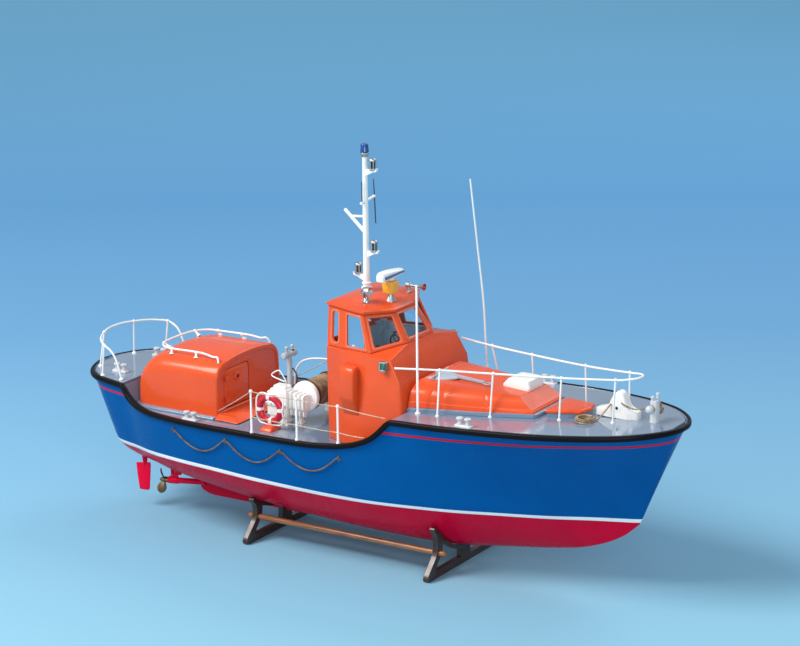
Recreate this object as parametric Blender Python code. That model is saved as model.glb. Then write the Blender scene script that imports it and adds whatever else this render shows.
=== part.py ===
"""Display model of a 44-foot motor lifeboat at about 1:40, standing on its wooden cradle.

Frame: +X towards the bow, +Y to port, +Z up. The origin lies on the floor under the middle
of the boat. Sizes and places are in millimetres and become metres where a mesh is made.
"""
import math

import bmesh
import bpy
import numpy as np
from mathutils import Matrix, Vector

MM = 0.001
GAP = 0.3

# Hull: outer edge at deck level, as distance along the boat and half breadth
HALF_LENGTH = 169.6
DECK_EDGE = [(-169.6, 0.0), (-167.8, 10.0), (-162.6, 20.6), (-155.0, 27.6), (-146.0, 30.8),
             (-134.0, 33.6), (-118.0, 39.0), (-100.0, 43.4), (-78.0, 45.9), (-45.0, 46.9),
             (0.0, 46.9), (38.0, 46.5), (75.0, 44.9), (105.0, 42.0), (125.0, 37.8),
             (142.0, 31.8), (154.5, 24.8), (164.0, 15.4), (168.6, 7.0), (169.6, 0.0)]
# Height of the sheer: stern deck, drop to the well, rise to the fore deck
SHEER = [(-169.6, 73.6), (-136.0, 73.0), (-132.9, 72.9), (-130.8, 71.4), (-128.7, 69.1),
         (-126.3, 67.2), (-122.0, 65.4), (-116.5, 64.2), (-109.0, 63.6), (-90.0, 63.7),
         (-60.0, 64.0), (-15.0, 64.6), (4.0, 66.2), (14.0, 68.2), (21.0, 70.6),
         (26.0, 73.2), (30.0, 76.4), (33.0, 79.4), (35.6, 82.0), (38.0, 83.3), (60.0, 83.9),
         (100.0, 85.6), (140.0, 87.4), (169.6, 88.7)]
# Height of the bottom on the centre line, waterline breadth as a share of deck breadth,
# and how round the bottom is (a low power is full, a power of one is a straight vee)
WATERLINE = 39.0
BOTTOM = [(-169.6, 33.0), (-150.0, 29.5), (-135.0, 27.0), (-113.0, 24.0), (-73.0, 18.2),
          (-28.0, 13.2), (0.0, 11.2), (43.0, 9.7), (76.0, 12.1), (131.0, 18.2), (150.0, 23.0),
          (163.0, 29.5), (169.6, 36.5)]
WATER_SHARE = [(-169.6, 0.84), (-155.0, 0.86), (-135.0, 0.87), (-119.0, 0.88), (-80.0, 0.90),
               (-40.0, 0.94), (12.0, 0.92), (64.0, 0.74), (92.0, 0.60), (122.0, 0.45), (147.0, 0.28),
               (169.6, 0.15)]
ROUNDNESS = [(-169.6, 0.20), (-145.0, 0.21), (-120.0, 0.29), (-60.0, 0.37), (0.0, 0.44),
             (40.0, 0.50), (90.0, 0.66), (169.6, 0.9)]
STEM_RAKE = 0.42
STEM_FROM = 60.0
STERN_RAKE = 0.40
STERN_FROM = -110.0
RIM = 1.4
STERN_STEP = -134.0
FORE_STEP = 37.4
DECK_BED_DROP = 1.2
WELL_BED = 60.0
DECK_THICKNESS = 0.8
WELL_TOP = WELL_BED + GAP + DECK_THICKNESS

# Rubbing strake, from the hull's side outwards
STRAKE_PROUD = 1.05

# Keel and running gear
KEEL_HALF_THICKNESS = 1.6
KEEL_BOTTOM = 8.8
SHAFT_Y = 14.0
SHAFT_RISE = 0.11
PROPELLER_X = -123.2
PROPELLER_Z = 17.2
PROPELLER_RADIUS = 7.5
RUDDER_X = -135.6
RUDDER_THICKNESS = 1.2

# Aft cabin
CABIN_FRONT = -77.0
CABIN_AFT = -127.6
CABIN_HALF = 28.0
CABIN_TOP = 91.0
CABIN_WALL = 1.2
DOOR_HINGE_Y = -20.6
DOOR_FREE_Y = 1.0
DOOR_BOTTOM = 64.4
DOOR_TOP = 85.0
CABIN_RAIL_Y = 20.0
CABIN_RAIL_Z = 91.6

# Towing bitt and winch in the well
BITT_X = -51.5
BITT_TOP = 92.0
DRUM_X = -35.0
DRUM_Z = 75.0
DRUM_Y = (-8.6, 11.0)

# Wheelhouse: corners of the lower body, the window band and the roof on the port side
HOUSE_WALL = 1.2
HOUSE_LEVELS = [
    # height, then the port corners: aft, quarter, side, front
    (WELL_TOP + GAP, [(-12.0, 24.4), (0.0, 29.6), (16.0, 32.6), (36.4, 33.0)]),
    (84.0, [(-12.0, 24.8), (0.0, 29.8), (16.0, 32.4), (36.4, 33.0)]),
    (97.0, [(-12.0, 25.0), (0.0, 29.0), (16.0, 31.4), (34.6, 32.4)]),
    (107.6, [(-12.0, 25.2), (0.0, 28.2), (16.0, 30.4), (28.8, 31.4)]),
]
BAND_BASE = [(-12.0, 24.2, 108.4), (0.0, 26.8, 108.6), (16.0, 28.8, 108.9), (26.6, 12.4, 111.6)]
BAND_TOP = [(-12.6, 21.6, 127.8), (-1.4, 23.6, 127.1), (9.6, 25.3, 126.3), (17.9, 9.9, 125.2)]
ROOF_EDGE = [(-13.4, 22.4, 128.6), (-1.6, 24.6, 127.9), (10.4, 26.2, 127.1),
             (18.8, 10.4, 126.0)]
ROOF_THICKNESS = 1.3
ROOF_CROWN = 2.6

# Mast and masthead gear, on the centre line
MAST_X = -4.2
MAST_BASE = 132.1
MAST_TOP = 198.2
MAST_RADIUS = 1.4

# Radar on the wheelhouse roof
RADAR_X = 12.0
RADAR_Y = -3.6
RADAR_FOOT = 129.4

# Fore part
TRUNK_BASE = [(36.9, 28.6), (70.0, 22.0), (97.0, 14.4)]
TRUNK_TOP = [(37.4, 15.0, 99.0), (68.0, 14.0, 97.6), (88.0, 11.6, 96.4)]
HATCH_X = (101.0, 116.8)
WINDLASS_X = 136.0
SAMSON_X = 154.6

# Rails
WIRE = 0.5
BOW_RAIL = [(31.5, 31.6, 104.4), (52.7, 24.9, 104.8), (78.6, 18.9, 105.3), (111.6, 11.9, 106.2),
            (137.7, 7.2, 107.8)]
BOW_RAIL_FEET = [(54.5, 30.4), (78.4, 21.4), (111.4, 13.6), (136.9, 8.4)]
STERN_RAIL = [(-138.2, 28.0, 74.5), (-143.0, 28.0, 86.6), (-149.0, 27.4, 89.8),
              (-156.4, 20.4, 91.0), (-160.4, 12.4, 91.7)]
STERN_RAIL_FEET = [(-151.0, 27.0), (-162.4, 14.4)]
GUARD_X = [-43.0, -16.0, 8.0]
GUARD_TOP = 86.0

# Stand: boards with a foot bar, two legs with round heads and a thin saddle under the hull
TRESTLE_X = [-56.5, 50.5]
TRESTLE_THICKNESS = 4.0
TRESTLE_HALF = 36.4
TRESTLE_LEG = [(35.4, 0.0), (TRESTLE_HALF, 1.4), (35.8, 3.6), (33.4, 8.4), (31.5, 13.6),
               (30.5, 18.6), (30.8, 23.6)]
TRESTLE_BAR = 6.1
TRESTLE_SADDLE = 2.2
TRESTLE_SEAT = 27.0
WINDOW_FOOT = (3.4, 25.2)
WINDOW_HEAD = (3.4, 20.2)
KEEL_SLOT = KEEL_HALF_THICKNESS + 0.35
DOWEL_Y = 25.0
DOWEL_Z = 12.2
DOWEL_RADIUS = 1.45
DOWEL_X = (-61.5, 55.5)

# Window opening in each panel as shares: from, to across the panel, and from, to up it
PANEL_WINDOWS = [None, (0.26, 0.62, 0.12, 0.90), (0.10, 0.84, 0.08, 0.90), (0.14, 0.88, 0.10, 0.90),
                 (0.12, 0.88, 0.12, 0.90), (0.12, 0.86, 0.10, 0.90), (0.16, 0.90, 0.08, 0.90),
                 (0.38, 0.74, 0.12, 0.90), None]

# Twin-post bollards
BOLLARDS = [
    # name, place along, half width across, deck height under it
    ("bollard_aft", -88.0, 36.4, WELL_TOP),
    ("bollard_fore", 75.5, 41.0, None),
    ("bollard_stern", -147.0, 17.0, None),
]

# Grab lines: eyelets along the side and how low each bight hangs
GRAB_EYES = [-93.6, -60.4, -27.0, 8.0]
GRAB_Z = 58.6
GRAB_SAG = 8.4

COLOURS = {
    # name: red, green, blue, roughness, metallic
    "hull_blue": (0.004, 0.085, 0.33, 0.25, 0.0),
    "bottom_red": (0.56, 0.004, 0.03, 0.4, 0.0),
    "deck_grey": (0.20, 0.24, 0.29, 0.2, 0.0),
    "house_orange": (0.80, 0.085, 0.018, 0.25, 0.0),
    "strake_black": (0.012, 0.010, 0.010, 0.35, 0.0),
    "fitting_grey": (0.34, 0.37, 0.40, 0.4, 0.0),
    "rail_white": (0.86, 0.86, 0.84, 0.35, 0.0),
    "brass": (0.55, 0.38, 0.14, 0.35, 1.0),
    "silver": (0.62, 0.63, 0.64, 0.3, 1.0),
    "glass_tint": (0.72, 0.84, 0.92, 0.05, 0.0),
    "rope_brown": (0.22, 0.12, 0.06, 0.9, 0.0),
    "lens_blue": (0.01, 0.06, 0.42, 0.2, 0.0),
    "lens_green": (0.02, 0.30, 0.14, 0.2, 0.0),
    "lens_red": (0.50, 0.02, 0.02, 0.2, 0.0),
    "gearbox_yellow": (0.82, 0.50, 0.06, 0.4, 0.0),
    "buoy_red": (0.68, 0.01, 0.03, 0.4, 0.0),
    "stand_dark": (0.045, 0.018, 0.008, 0.45, 0.0),
    "dowel_wood": (0.30, 0.11, 0.035, 0.4, 0.0),
}


def clear_scene():
    """Take out whatever objects the file opened with."""
    for item in list(bpy.data.objects):
        bpy.data.objects.remove(item)


def material(name):
    """The named paint or metal, made once."""
    found = bpy.data.materials.get(name)
    if found:
        return found
    red, green, blue, roughness, metallic = COLOURS[name]
    made = bpy.data.materials.new(name)
    made.use_nodes = True
    shader = made.node_tree.nodes["Principled BSDF"]
    shader.inputs["Base Color"].default_value = (red, green, blue, 1.0)
    shader.inputs["Roughness"].default_value = roughness
    shader.inputs["Metallic"].default_value = metallic
    return made


def smooth(table, x):
    """Read a table of (place, value) pairs with a smooth curve that never overshoots."""
    places = [row[0] for row in table]
    values = [row[1] for row in table]
    if x <= places[0]:
        return values[0]
    if x >= places[-1]:
        return values[-1]
    i = max(k for k in range(len(places) - 1) if places[k] <= x)
    steps = [(values[k + 1] - values[k]) / (places[k + 1] - places[k]) for k in range(len(places) - 1)]

    def slope(k):
        if k == 0 or k == len(places) - 1:
            return steps[0] if k == 0 else steps[-1]
        before, after = steps[k - 1], steps[k]
        if before * after <= 0:
            return 0.0
        return 2 * before * after / (before + after)

    width = places[i + 1] - places[i]
    t = (x - places[i]) / width
    start, end = slope(i) * width, slope(i + 1) * width
    return ((2 * t**3 - 3 * t**2 + 1) * values[i] + (t**3 - 2 * t**2 + t) * start
            + (3 * t**2 - 2 * t**3) * values[i + 1] + (t**3 - t**2) * end)


def spline(points, per_span, closed=False):
    """Points along a smooth curve through the given points."""
    pts = [np.array(p, float) for p in points]
    count = len(pts)
    curve = []
    spans = count if closed else count - 1
    for i in range(spans):
        p1, p2 = pts[i], pts[(i + 1) % count]
        p0 = pts[i - 1] if closed or i > 0 else 2 * p1 - p2
        p3 = pts[(i + 2) % count] if closed or i + 2 < count else 2 * p2 - p1
        for k in range(per_span):
            t = k / per_span
            curve.append(0.5 * (2 * p1 + (p2 - p0) * t + (2 * p0 - 5 * p1 + 4 * p2 - p3) * t**2
                                + (3 * p1 - p0 - 3 * p2 + p3) * t**3))
    if not closed:
        curve.append(pts[-1])
    return curve


def edge_curve():
    """Half breadth against length at deck level, with square ends on the centre line."""
    mirrored = [(x, -y) for x, y in DECK_EDGE[1:2]]
    last = [(x, -y) for x, y in DECK_EDGE[-2:-1]]
    dense = spline(mirrored + DECK_EDGE + last, 12)
    return [p for p in dense[12:-12]]


EDGE = edge_curve()
EDGE_X = [p[0] for p in EDGE]
EDGE_Y = [max(0.0, p[1]) for p in EDGE]


def half_breadth(x):
    """Half breadth of the hull at deck level."""
    return float(np.interp(x, EDGE_X, EDGE_Y))


def rake_shift(x, z):
    """How far the raked stem and stern move a point along the boat at height z."""
    fore = max(0.0, (x - STEM_FROM) / (HALF_LENGTH - STEM_FROM))
    aft = max(0.0, (STERN_FROM - x) / (HALF_LENGTH + STERN_FROM))
    return -STEM_RAKE * (88.7 - z) * fore + STERN_RAKE * (73.6 - z) * aft


def bottom_height(x, y):
    """Height of the hull's bottom at a place below the waterline."""
    station = x
    z = smooth(BOTTOM, station)
    for _ in range(6):
        share = min(1.0, abs(y) / (half_breadth(station) * smooth(WATER_SHARE, station)))
        low = smooth(BOTTOM, station)
        z = low + (WATERLINE - low) * share ** (1 / smooth(ROUNDNESS, station))
        station = x - rake_shift(station, z)
    return z


def add_object(name, verts, faces, colour, origin=(0, 0, 0), sharp=35):
    """Make one closed piece from millimetre points, with its origin where it turns."""
    mesh = bpy.data.meshes.new(name)
    base = Vector(origin)
    mesh.from_pydata([(Vector(v) - base) * MM for v in verts], [], faces)
    work = bmesh.new()
    work.from_mesh(mesh)
    bmesh.ops.remove_doubles(work, verts=work.verts, dist=2e-6)
    bmesh.ops.dissolve_degenerate(work, dist=1e-6, edges=work.edges)
    bmesh.ops.recalc_face_normals(work, faces=work.faces)
    work.to_mesh(mesh)
    work.free()
    mesh.shade_smooth()
    mesh.set_sharp_from_angle(angle=math.radians(sharp))
    item = bpy.data.objects.new(name, mesh)
    item.location = base * MM
    bpy.context.scene.collection.objects.link(item)
    mesh.materials.append(material(colour))
    return item


def combine(name, shapes, colour, origin=(0, 0, 0), cuts=()):
    """Unite several shapes into one body, cut the given shapes out of it, and keep the result."""
    item = add_object(name, *shapes[0], colour, origin)
    helpers = []
    for operation, group in (("UNION", shapes[1:]), ("DIFFERENCE", cuts)):
        for shape in group:
            helper = add_object("shape", *shape, colour)
            helpers.append(helper)
            modifier = item.modifiers.new("join", "BOOLEAN")
            modifier.operation = operation
            modifier.solver = "EXACT"
            modifier.object = helper
    bpy.context.view_layer.update()
    evaluated = item.evaluated_get(bpy.context.evaluated_depsgraph_get())
    mesh = bpy.data.meshes.new_from_object(evaluated)
    item.modifiers.clear()
    item.data = mesh
    work = bmesh.new()
    work.from_mesh(mesh)
    bmesh.ops.remove_doubles(work, verts=work.verts, dist=2e-6)
    bmesh.ops.triangulate(work, faces=work.faces)
    work.to_mesh(mesh)
    work.free()
    mesh.shade_smooth()
    mesh.set_sharp_from_angle(angle=math.radians(35))
    mesh.materials.clear()
    mesh.materials.append(material(colour))
    for helper in helpers:
        bpy.data.objects.remove(helper)
    return item


def loft(rings, closed=False):
    """Skin between rings of equal point counts; the ends are filled unless it closes on itself."""
    count = len(rings[0])
    verts = [tuple(p) for ring in rings for p in ring]
    faces = []
    spans = len(rings) if closed else len(rings) - 1
    for i in range(spans):
        a, b = i * count, ((i + 1) % len(rings)) * count
        for k in range(count):
            n = (k + 1) % count
            faces.append((a + k, a + n, b + n, b + k))
    if not closed:
        faces.append(tuple(range(count)))
        faces.append(tuple(range(len(verts) - count, len(verts))))
    return verts, faces


def box(low, high):
    """A block between two corners."""
    (x0, y0, z0), (x1, y1, z1) = low, high
    ring = [(x0, y0), (x1, y0), (x1, y1), (x0, y1)]
    return loft([[(x, y, z) for x, y in ring] for z in (z0, z1)])


def prism(outline, axis, low, high):
    """An outline pushed out along X, Y or Z; the outline gives the other two values in order."""
    place = "xyz".index(axis)
    rings = []
    for value in (low, high):
        ring = []
        for a, b in outline:
            point = [a, b]
            point.insert(place, value)
            ring.append(tuple(point))
        rings.append(ring)
    return loft(rings)


def frame_of(direction):
    """Two directions square to the given one."""
    d = np.array(direction, float)
    d /= np.linalg.norm(d)
    other = np.array((0, 0, 1.0)) if abs(d[2]) < 0.9 else np.array((1.0, 0, 0))
    u = np.cross(other, d)
    u /= np.linalg.norm(u)
    return u, np.cross(d, u)


def turned(start, end, profile, sides=12):
    """A round piece on the line from start to end; the profile gives (share of length, radius)."""
    a, b = np.array(start, float), np.array(end, float)
    u, v = frame_of(b - a)
    turn = [2 * math.pi * k / sides for k in range(sides)]
    rings = []
    for share, radius in profile:
        centre = a + (b - a) * share
        rings.append([centre + radius * (math.cos(t) * u + math.sin(t) * v) for t in turn])
    return loft(rings)


def rod(start, end, radius, sides=8):
    """A plain round bar."""
    return turned(start, end, [(0, radius), (1, radius)], sides)


def tube(path, radius, sides=6, closed=False):
    """A bent wire along the given points."""
    pts = [np.array(p, float) for p in path]
    count = len(pts)
    rings = []
    u = None
    for i, p in enumerate(pts):
        ahead = pts[(i + 1) % count] if closed or i + 1 < count else p
        behind = pts[i - 1] if closed or i > 0 else p
        d = ahead - behind
        d /= np.linalg.norm(d)
        if u is None:
            u, v = frame_of(d)
        else:
            u = u - d * np.dot(u, d)
            u /= np.linalg.norm(u)
            v = np.cross(d, u)
        turn = [2 * math.pi * k / sides for k in range(sides)]
        rings.append([p + radius * (math.cos(t) * u + math.sin(t) * v) for t in turn])
    return loft(rings, closed)


def ball(centre, radius, sides=10, rows=5):
    """A sphere-like knob."""
    c = np.array(centre, float)
    profile = []
    for k in range(rows + 1):
        t = math.pi * (0.06 + 0.88 * k / rows)
        profile.append((0.5 - 0.5 * math.cos(t), radius * math.sin(t)))
    return turned(c - (0, 0, radius), c + (0, 0, radius), profile, sides)


def mirror(points):
    """The same points on the other side of the boat."""
    return [(p[0], -p[1], *p[2:]) for p in points]


# Hull stations, closer together at the round ends and where the sheer steps
def stations():
    """Places along the boat where the hull's sections stand."""
    places = []
    for k in range(8):
        places.append(-146.0 - (HALF_LENGTH - 146.0) * math.cos(math.pi / 2 * k / 7))
    places += [-140.0, STERN_STEP - 0.3, STERN_STEP + 0.3]
    places += list(np.arange(-132.0, -114.0, 2.0)) + list(np.arange(-108.0, 2.0, 12.0))
    places += [4.0, 9.0, 14.0, 18.0, 22.0, 25.0, 28.0, 30.0, 32.0, 33.5, 35.0, 36.2]
    places += [FORE_STEP - 0.3, FORE_STEP + 0.3]
    places += list(np.arange(46.0, 142.0, 11.0))
    for k in range(8):
        places.append(145.0 + (HALF_LENGTH - 145.0) * math.sin(math.pi / 2 * k / 7))
    return places


def bed_height(x):
    """Height of the surface that the decks lie on."""
    if STERN_STEP < x < FORE_STEP:
        return WELL_BED
    if abs(x) >= HALF_LENGTH - 0.01:
        return smooth(SHEER, x)
    return smooth(SHEER, x) - DECK_BED_DROP


def topside(x, z):
    """Half breadth of the side above the waterline, at a height."""
    breadth = half_breadth(x)
    wet = breadth * smooth(WATER_SHARE, x)
    share = (z - WATERLINE) / (smooth(SHEER, x) - WATERLINE)
    flare = 1.0 + 0.5 * min(1.0, max(0.0, (x - 40.0) / 40.0))
    return wet + (breadth - wet) * share**flare


def inner_side(x, z):
    """Half breadth inside the rim, at a height."""
    breadth = topside(x, z)
    return breadth - min(RIM, 0.4 * breadth)


def hull_section(x):
    """One section of the hull from the keel up the port side and over the deck bed."""
    low = smooth(BOTTOM, x)
    top = smooth(SHEER, x)
    power = smooth(ROUNDNESS, x)
    wet = half_breadth(x) * smooth(WATER_SHARE, x)
    side = []
    for k in range(7):
        share = (k / 6) ** 1.7
        side.append((wet * share**power, low + (WATERLINE - low) * share))
    for k in range(1, 5):
        z = WATERLINE + (top - WATERLINE) * k / 4
        side.append((topside(x, z), z))
    bed = bed_height(x)
    side += [(inner_side(x, top), top), (inner_side(x, bed), bed)]
    port = [(x + rake_shift(x, z), y, z) for y, z in side]
    starboard = mirror(port[:0:-1])
    return port + starboard


def make_hull():
    """The decked hull, carved with a step to the well at each end of it."""
    rings = [hull_section(x) for x in stations()]
    verts, faces = loft(rings)
    add_object("hull", verts, faces, "hull_blue", sharp=40)


def make_deck(name, first, last, bottom, top):
    """A deck plate that drops into the hull between two places; heights follow the functions."""
    places = [first] + [x for x in stations() if first < x < last] + [last]
    rings = []
    for x in places:
        low, high = bottom(x), top(x)
        half = min(inner_side(x, low), inner_side(x + math.copysign(0.6, x), low))
        half = max(0.3, half - GAP - 0.1)
        place = x + rake_shift(x, low)
        rings.append([(place, -half, low), (place, half, low), (place, half, high),
                      (place, -half, high)])
    add_object(name, *loft(rings), "deck_grey")


def make_strake():
    """The black rubbing strake round the whole edge, a half-round strip bent to the sheer."""
    places = stations()
    port = [(x, half_breadth(x), smooth(SHEER, x)) for x in places]
    path = port + mirror(port[-2:0:-1])
    pts = [np.array(p) for p in path]
    rings = []
    section = [(0.0, -2.2), (0.75, -2.0), (STRAKE_PROUD, -1.2), (STRAKE_PROUD, -0.5),
               (0.7, 0.15), (0.0, 0.2)]
    for i, p in enumerate(pts):
        along = pts[(i + 1) % len(pts)] - pts[i - 1]
        along /= np.linalg.norm(along)
        out = np.cross(along, (0, 0, 1.0)) * -1
        out /= np.linalg.norm(out)
        up = np.cross(out, along)
        up *= math.copysign(1, up[2])
        if np.dot(out[:2], p[:2] - np.array((p[0] * 0.9, 0))) < 0:
            out = -out
        rings.append([p + out * (GAP + a) + up * b for a, b in section])
    add_object("rubbing_strake", *loft(rings, closed=True), "strake_black")


def make_keel():
    """The skeg under the centre line, deepest aft."""
    under = [(x, smooth(BOTTOM, x) - GAP - 0.1) for x in np.arange(-112.0, 37.0, 8.0)]
    outline = [(-108.8, 12.0), (-104.0, 9.2), (-100.0, KEEL_BOTTOM), (28.0, KEEL_BOTTOM)]
    outline += [(40.0, 9.0)] + [(x, z) for x, z in reversed(under)]
    rings = [[(x, y, z) for x, z in outline] for y in (-KEEL_HALF_THICKNESS, KEEL_HALF_THICKNESS)]
    add_object("keel_skeg", *loft(rings), "bottom_red")


def make_running_gear():
    """Shaft tube with its strut, propeller and rudder on each side."""
    for side, sign in (("port", 1), ("starboard", -1)):
        y = SHAFT_Y * sign
        aft_x = PROPELLER_X + 3.0
        fore_x = -96.5

        def shaft_z(x):
            return PROPELLER_Z + (x - PROPELLER_X) * SHAFT_RISE

        strut_x = -116.5
        strut_top = bottom_height(strut_x, y) - GAP - 0.25
        fin_aft_top = bottom_height(fore_x - 3.6, y) - GAP - 0.2
        fin_fore_top = bottom_height(fore_x - 0.6, y) - GAP - 0.2
        shapes = [
            rod((aft_x, y, shaft_z(aft_x)), (fore_x, y, shaft_z(fore_x)), 1.5, 12),
            turned((aft_x, y, shaft_z(aft_x)), (aft_x + 6.5, y, shaft_z(aft_x + 6.5)),
                   [(0, 1.7), (0.1, 1.9), (0.9, 1.9), (1, 1.7)], 12),
            prism([(strut_x - 2.0, shaft_z(strut_x)), (strut_x + 2.0, shaft_z(strut_x)),
                   (strut_x + 2.8, strut_top - 0.3), (strut_x - 2.4, strut_top)],
                  "y", y - 0.6, y + 0.6),
            prism([(fore_x - 4.5, shaft_z(fore_x) - 0.9), (fore_x - 0.6, shaft_z(fore_x)),
                   (fore_x - 0.8, fin_fore_top), (fore_x - 3.6, fin_aft_top)],
                  "y", y - 0.7, y + 0.7),
        ]
        combine("propeller_shaft_" + side, shapes, "bottom_red")

        hub = (PROPELLER_X, y, PROPELLER_Z)
        nose = (PROPELLER_X + 2.6, y, shaft_z(PROPELLER_X + 2.6))
        tail = (PROPELLER_X - 3.0, y, shaft_z(PROPELLER_X - 3.0))
        shapes = [turned(tail, nose, [(0, 0.4), (0.16, 1.1), (0.5, 1.6), (1, 1.6)], 12)]
        for blade in range(3):
            spin = Matrix.Rotation(math.radians(25 + 120 * blade), 4, "X")
            pitch = Matrix.Rotation(math.radians(32 * sign), 4, "Z")
            outline = [(-1.0, 0.9), (1.0, 0.9), (2.6, 3.6), (2.4, 6.0), (0.9, PROPELLER_RADIUS),
                       (-0.9, PROPELLER_RADIUS), (-2.4, 6.0), (-2.6, 3.6)]
            verts, faces = prism([(a, b) for a, b in outline], "y", -0.3, 0.3)
            verts = [Vector(hub) + spin @ (pitch @ Vector(v)) for v in verts]
            shapes.append((verts, faces))
        combine("propeller_" + side, shapes, "brass", origin=hub)

        stock_top = bottom_height(RUDDER_X, y) - GAP - 0.1
        half = RUDDER_THICKNESS / 2
        shapes = [
            prism([(-131.6, 25.2), (-133.0, 10.6), (-139.8, 9.2), (-141.6, 23.8)],
                  "y", y - half, y + half),
            rod((RUDDER_X, y, 18.0), (RUDDER_X, y, stock_top), 0.9, 10),
        ]
        combine("rudder_" + side, shapes, "bottom_red", origin=(RUDDER_X, y, 20.0))


def cabin_section(x, width, top, inset=0.0):
    """One section of the aft cabin, with straight sides and round shoulders."""
    half = CABIN_HALF * width - inset
    base = WELL_TOP + GAP if inset == 0 else WELL_TOP + GAP + CABIN_WALL
    crown = top - inset
    shoulder = base + (crown - base) * 0.66
    side = [(half + 0.5 * (inset == 0), base), (half, base + (crown - base) * 0.35),
            (half - 0.4, shoulder)]
    for k in range(1, 6):
        turn = math.pi / 2 * k / 5
        side.append((half - 0.4 - (half * 0.36) * (1 - math.cos(turn)),
                     shoulder + (crown - 1.4 - shoulder) * math.sin(turn)))
    side.append((half * 0.3, crown - 0.25))
    port = [(x, y, z) for y, z in side]
    return port + mirror(port[::-1])


def make_aft_cabin():
    """The orange cabin in the well, a hollow shell with a doorway in its front."""
    shape = [
        # place, width share, top
        (CABIN_FRONT, 1.0, 90.6), (CABIN_FRONT - 1.0, 1.0, CABIN_TOP), (-100.0, 1.0, CABIN_TOP),
        (-112.0, 1.0, 90.8), (-118.0, 0.995, 89.5), (-122.8, 0.985, 86.6), (-126.2, 0.965, 81.6),
        (CABIN_AFT, 0.945, 76.4),
    ]
    outer = loft([cabin_section(*row) for row in shape])
    inner_rows = [(CABIN_FRONT - CABIN_WALL, 1.0, CABIN_TOP), (-100.0, 1.0, CABIN_TOP),
                  (-112.0, 1.0, 90.8), (-118.0, 0.99, 89.0), (-125.2, 0.95, 81.6)]
    inner = loft([cabin_section(*row, inset=CABIN_WALL) for row in inner_rows])
    doorway = box((CABIN_FRONT - 2.4, DOOR_HINGE_Y, DOOR_BOTTOM),
                  (CABIN_FRONT + 1.0, DOOR_FREE_Y, DOOR_TOP))
    combine("aft_cabin", [outer], "house_orange", cuts=[inner, doorway])

    clear = 0.4
    leaf = box((CABIN_FRONT - 0.9, DOOR_HINGE_Y + clear, DOOR_BOTTOM + clear),
               (CABIN_FRONT + 0.1, DOOR_FREE_Y - clear, DOOR_TOP - clear))
    hinge_x = CABIN_FRONT + 0.75
    shapes = [leaf]
    for z in (69.0, 80.5):
        shapes.append(rod((hinge_x, DOOR_HINGE_Y, z - 1.4), (hinge_x, DOOR_HINGE_Y, z + 1.4), 0.5))
        shapes.append(box((CABIN_FRONT + 0.35, DOOR_HINGE_Y, z - 1.0),
                          (hinge_x + 0.3, DOOR_HINGE_Y + 2.6, z + 1.0)))
        shapes.append(box((CABIN_FRONT - 0.3, DOOR_HINGE_Y + 0.9, z - 0.9),
                          (hinge_x, DOOR_HINGE_Y + 2.5, z + 0.9)))
    shapes.append(turned((CABIN_FRONT - 0.4, -10.4, 79.6), (CABIN_FRONT + 0.6, -10.4, 79.6),
                         [(0, 2.2), (0.8, 2.2), (1, 1.9)], 16))
    combine("aft_cabin_door", shapes, "house_orange", origin=(hinge_x, DOOR_HINGE_Y, DOOR_BOTTOM))

    step = [(-76.7, 31.0, WELL_TOP + GAP), (-62.4, 31.0, WELL_TOP + GAP)]
    top = [(-76.7, 27.5, 63.8), (-66.0, 27.5, 63.8)]
    rings = [step + mirror(step[::-1]), top + mirror(top[::-1])]
    add_object("door_step", *loft(rings), "house_orange")


def cabin_roof_height(y):
    """Height of the cabin's roof at a distance from the centre line."""
    ring = cabin_section(-100.0, 1.0, CABIN_TOP)
    half = [(p[1], p[2]) for p in ring if p[1] > 0]
    half.sort()
    return float(np.interp(abs(y), [p[0] for p in half], [p[1] for p in half]))


def make_cabin_rail():
    """The white grab rail round the top of the aft cabin, open forward."""
    y = CABIN_RAIL_Y
    foot_y = y + 1.2
    end_z = cabin_roof_height(22.6) + 0.6
    path = [(-79.4, 22.6, end_z), (-80.6, 21.8, end_z + 2.2), (-84.0, 20.8, 90.9),
            (-95.2, y, CABIN_RAIL_Z + 0.3), (-110.0, y, CABIN_RAIL_Z), (-117.4, 18.2, CABIN_RAIL_Z),
            (-121.2, 12.5, CABIN_RAIL_Z), (-122.4, 5.0, CABIN_RAIL_Z)]
    wire = spline(path + mirror(path[::-1]), 3)
    shapes = [tube(wire, WIRE, 5)]
    for x, post_y in ((-95.2, y), (-110.6, y), (-120.6, 13.4)):
        for sign in (1, -1):
            if x < -115:
                foot = (x + 3.2, post_y * sign * 0.95, 89.6)
            else:
                foot = (x + 0.6, foot_y * sign, cabin_roof_height(foot_y) + 0.75)
            shapes.append(rod(foot, (x, post_y * sign, CABIN_RAIL_Z), 0.55, 5))
    combine("aft_cabin_rail", shapes, "rail_white")


def make_bitt():
    """The towing bitt: a post with a cross bar and two pins on top."""
    foot = WELL_TOP + GAP
    shapes = [
        box((BITT_X - 3.2, -3.2, foot), (BITT_X + 3.2, 3.2, foot + 1.0)),
        rod((BITT_X, 0, foot + 0.5), (BITT_X, 0, BITT_TOP), 1.35, 12),
        rod((BITT_X, -5.6, BITT_TOP), (BITT_X, 5.6, BITT_TOP), 1.7, 12),
        rod((BITT_X, -2.4, BITT_TOP + 1.0), (BITT_X, -2.4, BITT_TOP + 4.2), 0.6),
        rod((BITT_X, 2.6, BITT_TOP + 1.0), (BITT_X, 2.6, BITT_TOP + 4.2), 0.6),
    ]
    combine("towing_bitt", shapes, "fitting_grey")


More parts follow.
